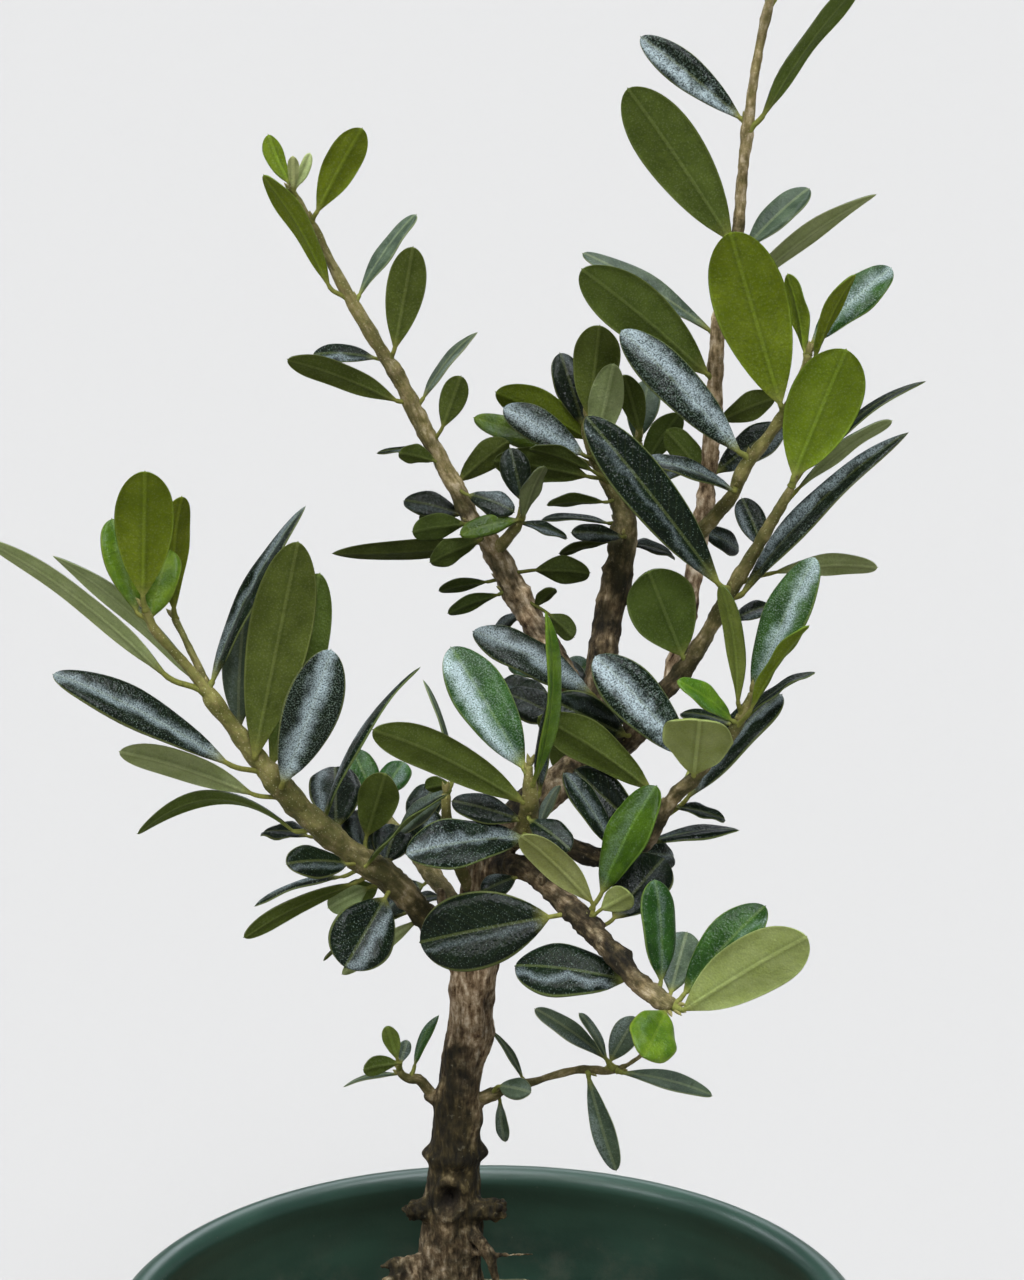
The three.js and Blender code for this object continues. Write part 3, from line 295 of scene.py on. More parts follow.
BRANCHES = {
    "left_branch": {"route": [
        (-8.6, 68, 6.2, 2.6), (-14, 74.6, 4, 2.4), (-20, 80.6, 2, 2.3), (-26.4, 84.9, 1, 2.3),
        (-33, 90.4, 0, 2.2), (-40, 97.4, -1, 2.2), (-46, 104.4, -2, 1.7), (-53, 113.6, -3, 1.4),
        (-60, 122.8, -4, 1), (-66, 129.4, -5, 0.8), (-68.6, 134.6, -6, 0.6),
    ], "leaves": [
        leaf((-68.8, 137), (-68.4, 162), -8, 11.6, 180, name="left_tip_leaf", kind="fresh"),
        leaf((-70.2, 134), (-75, 152.2), 6, 9, 25, kind="fresh"),
        leaf((-67.4, 132.4), (-63.4, 146), 7, 8, -20, kind="fresh"),
        leaf((-64.8, 121.4), (-102, 149.8), -6, 7.2, 130, name="left_long_leaf", kind="sage",
             outline="lance"),
        leaf((-57.6, 119.4), (-86.3, 145.3), 2, 7.5, 122, out=5.4, kind="sage", outline="lance"),
        leaf((-52.4, 103.6), (-86.4, 121.6), -3, 9.5, 35, name="left_dark_leaf", bloom=0.6, out=-3),
        leaf((-47.4, 97.4), (-73.4, 106), -4, 7.5, 145, out=1, kind="sage"),
        leaf((-38.8, 89.8), (-69.8, 89.8), 2, 7, 112, bow=5),
        leaf((-36, 88.8), (-44.8, 89.4), 5, 8, 60, out=3),
        leaf((-54.8, 120), (-36.4, 154.8), 3, 8, -58, name="left_upright_leaf", bloom=0.3, outline="lance"),
        leaf((-46.4, 105), (-37.8, 147.6), -9, 12.6, 180, name="left_great_leaf", out=-1),
        leaf((-43, 103.4), (-33.4, 141.3), -2, 11, 165, name="left_great_leaf_behind", out=5),
        leaf((-49.6, 110.6), (-48.4, 134), 3, 8, -20, out=4, kind="sage"),
        leaf((-40.8, 99.6), (-31.2, 126), 3, 11.5, 12, name="left_shining_leaf", bloom=1, out=-7),
        leaf((-32.8, 91.4), (-14.2, 123), 4, 8, -80, name="left_inner_leaf", bloom=0.3, outline="lance"),
        leaf((-30.2, 90.4), (-30.4, 102.8), 16, 11, 0, out=2),
        leaf((-28.2, 83.2), (-40, 83.2), -10, 8, 40, out=-3),
        leaf((-29.4, 80.6), (-46.6, 75), 2, 6, 82, outline="lance"),
        leaf((-27, 79.2), (-48.6, 68.6), -4, 7, 118, out=2),
        leaf((-24, 78.4), (-31.8, 74.5), -2, 6, 160, out=5, kind="sage"),
        leaf((-22, 78.6), (-28, 77), 3, 6, 150, out=3),
        leaf((-24, 89), (-20.2, 101.4), -8, 8.5, 180, out=7),
        leaf((-23.5, 84.6), (-26, 94), 9, 9, 10, out=3),
        leaf((-20.4, 83.4), (-18, 91), 8, 8.5, -10),
        leaf((-24, 83), (-8, 97.4), -3, 7, -88, out=-2, outline="lance"),
        leaf((-20.4, 76.4), (-28.4, 62.6), -10, 13.4, 0, name="left_round_leaf", bloom=0.35, out=-3),
        leaf((-15, 75.6), (-9.6, 76.6), 6, 5, -60, out=4),
        leaf((-16, 73.4), (-32.8, 64.2), 3, 4, 84, out=4),
        leaf((-14.4, 71.6), (-28.9, 61.2), 1, 4, 170, out=3, kind="sage"),
    ]},
    "left_side_twig": {"route": [
        (-54.4, 116, -2.2, 0.9), (-57, 121.2, -1.2, 0.8), (-60, 127.4, 1.4, 0.7), (-62.6, 132.6, 5, 0.6),
    ], "leaves": [
        leaf((-62.6, 134.4), (-61.4, 156.8), -2, 8, -145, kind="fresh"),
    ]},
    "upper_left_branch": {"route": [
        (18.6, 112.6, 15, 2.8), (16, 119, 17.6, 2.8), (11.8, 127, 20, 2.8), (8.4, 133, 21, 2.6),
        (4.6, 139.6, 22, 2.3), (0.6, 147.4, 22, 1.9), (-3.2, 152.4, 22, 1.7), (-6, 158, 21.5, 1.6),
        (-11.4, 167.8, 20.5, 1.5), (-16.8, 178.8, 19, 1.4), (-21, 185.6, 18, 1.3), (-28, 197.4, 17, 1.1),
        (-35, 210.8, 16, 0.8), (-38.8, 217.6, 15.5, 0.6),
    ], "leaves": [
        leaf((-39.8, 219.6), (-43.8, 229), 2, 5, -140, kind="fresh"),
        leaf((-38.8, 218.4), (-38.8, 224.8), -2, 2.4, 170, kind="bud"),
        leaf((-38.4, 218.4), (-35.4, 225.4), 2, 2.6, 20, kind="bud"),
        leaf((-31.8, 199.2), (-44.6, 221), -3, 7.4, 128, name="upper_left_tip_leaf", kind="fresh"),
        leaf((-33.8, 214), (-25, 230.4), -4, 7.2, -168, kind="fresh"),
        leaf((-25.4, 197.2), (-14.4, 213.2), 4, 5.5, -55, kind="sage"),
        leaf((-18.4, 186.6), (-14.8, 206.6), -5, 7.8, 178, name="upper_left_inner_leaf"),
        leaf((-22.6, 184.4), (-34.8, 185), 6, 5, 38, out=3),
        leaf((-18.4, 176), (-39.8, 184.4), -5, 7.6, 140, name="upper_left_outer_leaf"),
        leaf((-12.6, 176.6), (-2.2, 189.8), 4, 4.6, -62, kind="sage", outline="lance"),
        leaf((-8.8, 170.8), (-5.2, 180.8), -3, 5.6, 178),
        leaf((-10.6, 163.9), (-17.6, 165.6), -3, 4.8, 145),
        leaf((-10.4, 165.6), (-22, 165.4), 5, 2.2, 60, out=2),
        leaf((-5.5, 153.2), (-16.6, 155.8), 3, 6.4, 30, out=1),
        leaf((-4.6, 151.2), (-15, 149.8), -4, 6.2, 150, out=-1),
        leaf((-3.4, 153.4), (-13.4, 152.4), 8, 4.4, 120, out=3),
        leaf((-2, 147.4), (-31, 145.6), 5, 6.4, 128, out=3, outline="lance", arch=-0.03),
        leaf((-1.8, 147.8), (-11.4, 143.6), -3, 6, 150, out=-2),
        leaf((-0.4, 139.6), (-9.6, 138), 2, 4.6, 128),
        leaf((2, 137), (-7.8, 133.4), -3, 4.6, 130),
        leaf((-5.4, 160), (4.2, 167.8), 4, 6.6, -150),
        leaf((-3.6, 157), (5.4, 153.6), -3, 6.4, -40, out=-2),
        leaf((9.8, 142), (20.6, 141.6), -3, 6.8, -150),
        leaf((9.8, 134.8), (13.4, 138.4), -3, 3.8, -140, out=-1),
        leaf((12.6, 133), (17.4, 128.6), -4, 5, -150, out=-3),
        leaf((7.2, 133.4), (0.6, 128.8), 5, 5, 60, out=4),
    ]},
    "upper_left_side_twig": {"route": [
        (1.4, 145.6, 22, 1.4), (4.6, 149, 18.6, 1.1), (6.4, 151.6, 16.6, 0.8), (7, 154.6, 15.6, 0.5),
    ], "leaves": [
        leaf((6, 152), (-5.4, 149.2), -3, 4.8, 30, kind="fresh"),
        leaf((7.2, 152.4), (11.2, 162.8), -2, 6.6, -120, kind="sage"),
        leaf((7, 156), (4.6, 166.4), 3, 6.4, 10),
        leaf((6.8, 151.4), (16, 148.4), 1, 5, -60),
    ]},
    "central_branch": {"route": [
        (21.9, 114.4, 18.2, 3.1), (22.6, 121, 22.4, 3.1), (24.2, 132, 27, 3), (26.6, 143, 30, 2.8),
        (27.6, 151, 31.6, 2.2), (26.4, 156, 32, 1.8), (24, 160.6, 32, 1.5), (21.6, 164.6, 31.4, 1.3),
        (20, 169, 30.6, 1), (20, 172.6, 30, 0.6),
    ], "leaves": [
        leaf((20.2, 168.4), (1.8, 177.6), 2, 9, 150, kind="fresh", out=2),
        leaf((19, 165.2), (3.4, 174.6), 3, 7.6, 20, name="central_shining_leaf", bloom=1, out=-4),
        leaf((17.6, 164.6), (-2.6, 172.6), 5, 6, 20, kind="fresh", out=3),
        leaf((20.8, 162), (8.6, 166.4), -3, 5.4, 125, out=-5),
        leaf((19.8, 160.8), (1.4, 163.8), -2, 8.6, 145, out=-4),
        leaf((19.2, 171), (14.6, 185.4), 6, 7, 10, out=2),
        leaf((20.4, 173), (22.6, 191), -6, 9.8, 175, name="central_top_leaf"),
        leaf((21.4, 166), (25.4, 183.2), -4, 7.2, 172, kind="sage", out=-4),
        leaf((23, 155.6), (12, 155.2), -2, 4.8, 125, out=-3),
        leaf((24, 151.4), (11, 152.2), 4, 4, 70),
        leaf((24, 147.6), (14.4, 145.4), -2, 3.6, 120),
        leaf((27, 148.6), (17, 149.6), -4, 4.4, 30, out=-4),
        leaf((29, 155), (36.4, 150), -6, 5, -40, out=-2),
        leaf((29, 147), (37.4, 144.6), 5, 7, -70, out=4),
    ]},
    "central_side_twig": {"route": [
        (27.2, 150, 32, 1.5), (29, 156.6, 34, 1.2), (30.2, 163, 35.6, 0.9), (30.4, 168, 36.4, 0.6),
    ], "leaves": [
        leaf((29.8, 168), (32.4, 180), 6, 7, -5, kind="sage"),
        leaf((31.4, 163), (38.4, 173.4), -4, 6.6, -160),
        leaf((30.6, 169.6), (27.4, 181), -3, 5.6, 165),
        leaf((31.4, 158), (42, 164.4), 6, 6.4, -50),
        leaf((29.4, 160), (24.4, 168), 9, 6, 20),
    ]},
    "right_branch": {"route": [
        (23.6, 104.8, 11.8, 2.6), (29, 109, 12, 2.5), (32.8, 115, 11, 2.2), (38.1, 120.6, 9.8, 1.9),
        (40.8, 124, 9, 1.7), (44.4, 130, 7.6, 1.5), (49.4, 138.8, 5.6, 1.3), (55.4, 149, 3.6, 1.1),
        (60.6, 158, 2, 0.8), (61.6, 161, 1.6, 0.6),
    ], "leaves": [
        leaf((27.6, 109), (13, 116), 1, 9, 0, out=-5),
        leaf((51.4, 137.6), (84, 169.8), 4, 7.5, -48, name="right_long_leaf", bloom=0.6, out=-2,
             outline="lance"),
        leaf((58, 141.6), (78, 142.8), -1, 6.5, -128, kind="sage", out=7),
        leaf((39, 125), (32.2, 142), -10, 14, 180, name="right_broad_leaf"),
        leaf((46, 139.6), (19.8, 172.6), 4, 10.6, 15, name="right_black_leaf", bloom=0.15, out=-6),
        leaf((49.6, 132), (56.8, 134.8), 6, 5, -40, out=2),
        leaf((55, 146.4), (51, 156.4), 6, 6, 20, out=4),
        leaf((61.4, 161), (71.8, 186.2), -4, 14.6, -175, name="right_bright_leaf", kind="fresh"),
        leaf((62.6, 158.6), (80.6, 172.2), 2, 6.6, -112, out=4, kind="sage"),
        leaf((63, 161.6), (87.4, 180.4), 11, 6, -66, out=4, outline="lance"),
    ]},
    "leader": {"route": [
        (36.6, 119, 10.6, 1.8), (39.4, 130, 14, 1.9), (41.8, 144, 17.6, 1.8), (43.6, 156, 19.8, 1.7),
        (44.6, 166, 20.6, 1.6), (45.6, 177.6, 21, 1.5), (46.2, 190.6, 21.6, 1.4), (47.4, 198.6, 22, 1.3),
        (50, 208.4, 22, 1.2), (51, 220, 22, 1.1), (52.2, 231, 22, 1), (54, 244, 21.4, 0.9),
        (56.8, 257, 20.6, 0.8), (59.4, 270, 19.8, 0.7), (60.8, 278, 19.4, 0.5),
    ], "leaves": [
        leaf((44.4, 190), (19.2, 205.4), 8, 6.6, 45, kind="sage", out=2),
        leaf((43.8, 181.4), (19, 202.4), -8, 12, 165, name="leader_low_leaf"),
        leaf((48.6, 208.2), (28.2, 238.4), -8, 12.6, 170, name="leader_green_leaf"),
        leaf((50.4, 232.6), (30.8, 248.6), 5, 7.2, 20, name="leader_pale_leaf", bloom=0.8),
        leaf((55.4, 233.2), (79, 264), -5, 8, -120, name="leader_cut_leaf", outline="lance"),
        leaf((52, 206.6), (64.4, 218.4), 5, 6.6, -30, kind="sage"),
        leaf((50, 197), (77.6, 217.6), -4, 7.4, -122, kind="sage", outline="lance"),
        leaf((46.6, 172), (57.6, 176.6), 5, 6.4, -150, out=2),
        leaf((46, 161.6), (59.2, 171), 4, 7.6, -20, out=1),
        leaf((43.6, 160.8), (36, 170), 5, 6.6, 160, out=3),
        leaf((42.6, 150), (50.4, 146), 6, 5.6, -30, out=3),
        leaf((40.2, 136), (33, 131.4), 10, 7, 30, out=4),
        leaf((58.4, 257.6), (67, 279), 3, 7, -160, kind="fresh"),
        leaf((55.6, 257.4), (43.6, 276), 3, 7, 160, kind="fresh"),
        leaf((61.4, 276), (68, 289), -3, 4.4, -165, kind="fresh"),
        leaf((60, 276), (56.8, 290), 3, 4.4, 15, kind="fresh"),
        leaf((60.8, 278.4), (62.4, 284), 0, 1.8, 20, kind="bud"),
    ]},
    "right_upper_branch": {"route": [
        (42.4, 149, 18.6, 1.6), (45.4, 152.6, 15.6, 1.5), (49.2, 157.2, 12.4, 1.3),
        (51.8, 162.8, 10, 1.2), (58.8, 172.2, 6.6, 1), (62.8, 180, 4.6, 0.8), (64.4, 185.4, 3.8, 0.6),
    ], "leaves": [
        leaf((50.2, 165.8), (27, 190), 5, 9.2, 15, name="right_upper_shining_leaf", bloom=0.9, out=-2),
        leaf((58.6, 175.4), (48.6, 209.6), -6, 14.8, 180, name="right_upper_great_leaf", kind="fresh"),
        leaf((63.6, 185.6), (60.2, 201.2), 5, 6, 130, kind="fresh"),
        leaf((65.2, 187.6), (80.8, 202.4), 6, 8, -25, name="right_upper_green_leaf", bloom=0.7,
             kind="green"),
        leaf((65.6, 184.6), (73.4, 201.2), -3, 5.6, -125, kind="fresh"),
        leaf((49.2, 157.8), (31.4, 164.2), -3, 6, 55, out=-2),
        leaf((60.4, 171.6), (64.6, 166.4), 6, 5.6, -40, out=3),
    ]},
    "right_lower_branch": {"route": [
        (14, 87.8, 3, 2.1), (20, 85.2, -1, 2), (25, 84.2, -3.6, 1.9), (30.8, 86.7, -6.3, 1.7),
        (33, 89.8, -8, 1.5), (37, 96.2, -10, 1.4), (41, 100, -12, 1.3), (45, 104.4, -13, 1.2),
        (48.8, 109, -13.6, 1), (51.6, 113.8, -14, 0.8), (53, 117.6, -14, 0.7),
    ], "leaves": [
        leaf((48.8, 112), (38.2, 119.8), -4, 5.8, 38, kind="fresh"),
        leaf((41.4, 101.2), (42.6, 112.2), -12, 14, 180, name="right_lower_pale_leaf", kind="lime"),
        leaf((40.4, 96.8), (58.6, 117.4), 6, 10, -40, name="right_lower_dark_leaf", bloom=0.4, out=4),
        leaf((37.4, 94.6), (47.6, 92), 3, 5, -60, out=1),
        leaf((32.8, 87.6), (50.4, 90.2), 3, 6, -62, out=1, outline="lance"),
        leaf((50.2, 116), (47, 139), -4, 6, 128, kind="green"),
        leaf((53.2, 117.6), (65.6, 144.4), 6, 9.6, -25, name="right_lower_green_leaf", bloom=0.9,
             kind="green"),
        leaf((53, 114.6), (64.2, 131), -4, 5.6, -120, kind="fresh", out=-2),
        leaf((51.4, 112), (65.4, 121.6), 8, 6, -76, out=3),
        leaf((49, 111), (38.8, 113.4), 8, 5, 60, out=4),
        leaf((32.4, 98.4), (10.4, 113), -1, 9.6, 150, name="right_lower_inner_leaf", out=7),
        leaf((40, 104.8), (21.8, 124.8), 6, 11, 20, name="right_inner_leaf", bloom=0.85, out=8),
        leaf((30, 90.4), (17.5, 102), 5, 9, 0, out=3),
        leaf((25, 86.6), (15.5, 101.4), 2, 6, 30, out=-4),
        leaf((31.4, 85), (37.4, 84.6), 6, 6, -30, out=3),
    ]},
    "front_branch": {"route": [
        (4.8, 87.6, 2.6, 1.9), (7.4, 89.6, -4, 1.8), (8.4, 93.6, -8.6, 1.6), (8.6, 97, -11.6, 1.4),
        (8.4, 100.4, -13, 0.9), (8.6, 103, -13.4, 0.6),
    ], "leaves": [
        leaf((7.2, 102.6), (-7.2, 126.6), 12, 11.4, 10, name="front_shining_leaf", bloom=1, kind="green"),
        leaf((9.4, 99.6), (12.4, 133.6), -3, 7, 66, name="front_upright_leaf", kind="fresh",
             outline="lance"),
        leaf((7, 95.8), (-22.8, 110.6), -12, 9.6, 148, name="front_left_leaf"),
        leaf((10.6, 98), (13.6, 116), 1, 6, -55, out=2),
        leaf((10.6, 90.6), (14.4, 99), 4, 4.4, -55, kind="sage"),
        leaf((6.6, 92), (-7, 95.8), 2, 6.6, 30, out=-3),
        leaf((7, 88.6), (-16, 85.4), -8, 11, 32, name="front_dark_leaf", bloom=0.4, out=-5),
        leaf((8.6, 92), (16.6, 86), -6, 7, -30, out=-3),
    ]},
    "front_left_twig": {"route": [
        (-3.4, 78, 6, 1.4), (-6.4, 85, 2, 1.2), (-8, 92, 0, 1.1), (-8.2, 97.6, -1, 0.7),
    ], "leaves": [
        leaf((-7.6, 98), (-17.4, 89.8), 3, 5, 30, kind="sage"),
        leaf((-7.6, 99.2), (-12.2, 98.4), 4, 4.4, 150, out=1),
        leaf((-7, 100), (-12.6, 120), 5, 5, 80, kind="sage", outline="lance"),
        leaf((-6.6, 91), (1.6, 86), -2, 5.6, -60, out=1),
    ]},
    "front_right_branch": {"route": [
        (3.4, 83, 2, 2.4), (8, 82.2, -3.6, 2.3), (12, 79, -9.6, 2.2), (17.6, 73.4, -18, 2.1),
        (23.6, 67.2, -27, 2), (30, 59.8, -36, 1.8), (34, 56.6, -40.5, 1.5), (37.4, 54.4, -43, 1.1),
    ], "leaves": [
        leaf((12.4, 72.6), (-13.4, 67.6), 2, 15.8, 10, name="front_great_leaf", bloom=0.12, out=-5),
        leaf((20.8, 75.8), (7, 89.2), -5, 7.6, 150, kind="lime", out=-3),
        leaf((23, 77.6), (33.8, 98.8), 3, 9.6, -25, name="front_vivid_leaf", bloom=0.4, kind="vivid",
             out=-2),
        leaf((23, 74.2), (28.8, 77.4), -6, 5.6, -170, kind="lime", out=-2),
        leaf((25.4, 72.4), (35.4, 84.4), 9, 11, -10, out=3),
        leaf((34.8, 60), (33.6, 80), 4, 8, 35, kind="green", out=-1),
        leaf((36.8, 57.6), (40, 69.6), 10, 8, -5, kind="sage", out=1.5),
        leaf((39.6, 57.4), (55.6, 74.8), 5, 9.6, -22, name="front_right_upper_leaf", bloom=0.2,
             kind="green"),
        leaf((39.6, 54.2), (64, 69), -9, 12.6, -165, name="front_right_pale_leaf", kind="lime"),
        leaf((35.6, 53.6), (31.2, 44.6), -14, 10, -15, kind="fresh"),
        leaf((27.6, 60), (5.6, 63), 6, 12, 25, name="front_low_dark_leaf", bloom=0.3, out=5),
        leaf((5.6, 80.4), (-1, 77.6), -4, 5.4, 30, out=-3),
    ]},
    "back_branch": {"route": [
        (19.2, 106.4, 23, 2.2), (18.8, 109, 32, 2), (17, 112, 42, 1.7), (15, 115, 52, 1.4),
        (13.6, 117.6, 61, 1), (13, 119.4, 67, 0.7),
    ], "leaves": [
        leaf((15.6, 111.6), (3.6, 117.4), 5, 9, 30),
        leaf((20.4, 111.2), (32, 116.4), 5, 9, -30),
        leaf((17, 115.4), (15.4, 124), 6, 8.4, 0),
        leaf((16.6, 109.6), (16, 101), 8, 8, 170, out=2),
        leaf((12.8, 115.8), (1.8, 118.4), 6, 8.4, 35),
        leaf((17.6, 114.6), (28, 117), 6, 8.4, -35),
        leaf((13.6, 120.4), (12, 127.6), 5, 7.6, 5),
        leaf((13.6, 115), (14, 107), 7, 7, 175, out=2),
        leaf((11.8, 120.4), (5, 124.4), 9, 7, 25, kind="green"),
        leaf((14.4, 120.2), (21, 123), 9, 7, -25, kind="green"),
    ]},
    "back_left_branch": {"route": [
        (-6, 74.2, 17.6, 1.9), (-9.4, 79, 24, 1.8), (-14, 85, 33, 1.5), (-18.6, 90.6, 42, 1.2),
        (-22, 95, 50, 0.8),
    ], "leaves": [
        leaf((-11.2, 84.4), (-13, 94.6), 4, 8, 5),
        leaf((-12.8, 79), (-20, 74), 5, 8, 35, out=2),
        leaf((-18.4, 86.4), (-28.6, 84.6), 4, 8, 40),
        leaf((-15, 90), (-10.4, 99), 5, 8, -20),
        leaf((-22.8, 96.6), (-27, 106), 7, 7.6, 15, kind="green"),
        leaf((-21, 96.8), (-16.6, 103.6), 7, 7.2, -20, kind="green"),
    ]},
    "lower_left_twig": {"route": [
        (-10.8, 36.6, 9.4, 1.3), (-13.4, 39.8, 8.4, 0.9), (-15.4, 40.2, 8, 0.8), (-17, 41, 7.8, 0.7),
        (-17.6, 42.4, 7.6, 0.5),
    ], "leaves": [
        leaf((-14.4, 43.2), (-9.8, 53), 2, 4, -60, kind="green", outline="lance"),
        leaf((-18, 44.4), (-20, 50.8), -3, 3.6, 175, kind="green"),
        leaf((-18, 43.4), (-24.8, 42.2), -5, 4.6, 150, out=-2),
        leaf((-17.2, 43.6), (-16, 48), 3, 2.8, 0, kind="sage"),
        leaf((-17.8, 41.2), (-28.8, 38.8), 3, 2.4, 72, kind="sage", outline="lance"),
    ]},
    "lower_right_twig": {"route": [
        (-2.2, 36, 8.7, 1.4), (4.6, 38.4, 7, 0.9), (8.4, 39.4, 6.4, 0.8), (17.6, 42, 5, 0.7),
        (24.8, 41.8, 4, 0.6), (28, 43, 3.6, 0.5), (31, 45, 3.2, 0.4),
    ], "leaves": [
        leaf((7, 40.6), (1, 49.8), 2, 3, 55, kind="sage", outline="lance"),
        leaf((2.6, 38.8), (8.6, 37.6), -6, 5, -20, kind="sage", out=-2),
        leaf((2.6, 35.6), (3.6, 27.6), 2, 3, 20, kind="sage"),
        leaf((23.4, 44.6), (9.6, 54.2), 2, 5, 35, kind="sage"),
        leaf((23.8, 44.4), (18.6, 53.4), -2, 3, 50, kind="sage"),
        leaf((24.8, 44), (29.8, 52.6), 4, 6, -10, kind="sage"),
        leaf((20.4, 40.2), (25.8, 21.8), -2, 5, 10, kind="sage"),
        leaf((27.4, 41.4), (45, 37), -2, 5, -35, kind="sage"),
    ]},
}

# A broken stub, thin dead twigs and flaking bark on the trunk and by the soil
SCRAPS = [
    [(-5.6, 72, 8, 1.6), (-8.6, 75, 5.4, 1.4), (-9.6, 78.2, 4.6, 0.9)],
    [(-4, 5.6, 7, 0.9), (2, 5, 4.6, 0.55), (9.4, 5.2, 2, 0.35)],
    [(-3.4, 9.6, 7, 1.6), (-0.6, 6.6, 4.8, 1.3), (1.4, 2, 4, 1.2), (2.4, -4, 4, 1)],
    [(-10, 3, 10, 2), (-16, 3.6, 7, 1.4), (-21.5, 2.6, 5, 0.8)],
    [(-11, 0, 8, 1.6), (-18.4, 0.6, 4, 1.2), (-23, -3, 2, 0.7)],
    [(12.4, 76.6, -9.4, 1.2), (11.4, 78.8, -11, 1), (10.8, 81.4, -12, 0.7)],
]

# A named leaf that grows straight from a limb's foot
WOOD_LEAVES = {
    "central_foot": leaf((20.6, 117.4), (-2.6, 130), 3, 9.2, 30, name="central_dark_leaf", out=-8, bloom=0.9),
}


# Shoots

GRAIN_STRETCH = 0.3
RIDGE_LENGTH = 9
KNOT_SPACING = 2.2
STEM_SIDES = 16
STEM_SPACING = 0.7
BUD_SIDES = 8


def knuckles(arc, feet, reach):
    """How much a stem swells at each of its nodes, from 0 to 1."""
    swell = np.zeros_like(arc)
    for foot in feet:
        swell = np.maximum(swell, bell(arc - foot, reach))
    return swell


def around(angles, middle):
    """Each angle's distance from the middle one, the short way round."""
    return np.angle(np.exp(1j * (angles - middle)))


def ridges(feet, arc, radii, angles, across, front):
    """The low ridge that runs down a stem from each petiole's foot."""
    height = np.zeros((len(arc), len(angles)))
    for foot, outward in feet:
        ring = int(foot * (len(arc) - 1))
        middle = math.atan2(outward @ front[ring], outward @ across[ring])
        below = arc[ring] + 0.8 - arc
        run = smooth_step(below, -0.4, 0.8) * smooth_step(below, RIDGE_LENGTH, 1.5)
        girth = radii[ring]
        crest = bell(around(angles, middle) * girth, 0.25 + 0.28 * girth)
        height = np.maximum(height, run[:, None] * crest[None] * (0.1 + 0.17 * girth))
    return height


def old_knots(stem, arc, radii, angles, age):
    """Scars of fallen leaves and small swellings, on the older wood."""
    chance = random.Random(round(stem.length * 100))
    height = np.zeros((len(arc), len(angles)))
    for _ in range(int(stem.length / KNOT_SPACING)):
        ring = int(chance.random() * (len(arc) - 1))
        size = chance.uniform(0.5, 1.1) * (0.5 + 0.4 * radii[ring])
        turned = around(angles, chance.uniform(0, 2 * math.pi)) * radii[ring]
        spread = ((arc - arc[ring]) / size)[:, None] ** 2 + (turned / size)[None] ** 2
        swelling = chance.uniform(0.1, 0.36) * age[ring] * radii[ring]
        height += swelling * (np.exp(-spread) - 0.5 * np.exp(-4 * spread))
    return height


def bark_relief(points, age, radii):
    """How far uneven bark stands out at each point. Old wood is rougher than a green shoot."""
    lumps = roughness_at(points.reshape(-1, 3), 2.4).reshape(points.shape[:2])
    grain = roughness_at((points * [1, 1, 0.35]).reshape(-1, 3), 0.8, 2).reshape(points.shape[:2])
    rough = (0.1 + 0.46 * age * np.minimum(radii, 3) / 2)[:, None]
    return rough * (0.7 * lumps + 0.45 * grain)


def stem_skin(skin, stem, youth, tan, feet):
    """A stem with swollen nodes and uneven bark. youth runs from 0, old bark, to 1, green shoot."""
    count = max(6, int(stem.length / STEM_SPACING))
    t = np.linspace(0, 1, count)
    middles, tangents, radii = stem.at(t), stem.tangent(t), stem.radius(t)
    arc = np.concatenate([[0], np.cumsum(np.linalg.norm(np.diff(middles, axis=0), axis=1))])
    across, front = carried_frames(tangents, SHEET_ACROSS)
    age = 1 - np.clip(np.interp(t, [0, 1], youth), 0, 1)
    swell = knuckles(arc, [foot * stem.length for foot, _ in feet], 1.3 + radii.mean() * 0.5)
    radii = radii * (1 + (0.1 + 0.16 * (1 - age)) * swell)
    from_tip = (1.004 - t) * stem.length
    radii = radii * np.sqrt(np.clip(from_tip / (radii[-1] * 1.2), 0.02, 1))
    angles = round_turn(STEM_SIDES)
    out = ways_out(across, front, angles)
    points = middles[:, None] + out * radii[:, None, None]
    points += out * bark_relief(points, age, radii)[:, :, None]
    points += out * ridges(feet, arc, radii, angles, across, front)[:, :, None]
    points += out * old_knots(stem, arc, radii, angles, age)[:, :, None]
    girth = np.repeat(radii, STEM_SIDES)
    turned = np.tile(angles, count)
    skin.add(points, rings_to_faces(count, STEM_SIDES), youth=np.repeat(1 - age, STEM_SIDES), tan=tan,
             grain_x=girth * np.cos(turned), grain_y=girth * np.sin(turned),
             grain_z=np.repeat(arc, STEM_SIDES) * GRAIN_STRETCH + middles[0, 0])


def bud_skin(skin, foot, direction, length, width, slot):
    """A small pointed bud, a little flat from front to back."""
    rise = np.array([-0.15, 0.1, 0.35, 0.6, 0.82, 1.0])
    girth = np.array([0.55, 0.95, 1.0, 0.74, 0.38, 0.03])
    helper = SHEET_ACROSS if abs(direction[0]) < 0.8 else SHEET_UP
    side = squared(helper, direction)
    front = np.cross(direction, side)
    angles = round_turn(BUD_SIDES)
    out = side * np.cos(angles)[:, None] + front * np.sin(angles)[:, None] * 0.8
    middles = foot + direction * (rise * length)[:, None, None]
    points = middles + out[None] * (girth * width / 2)[:, None, None]
    skin.add(points, rings_to_faces(len(rise), BUD_SIDES), slot, youth=0.9, tan=0.9)


# Leaves

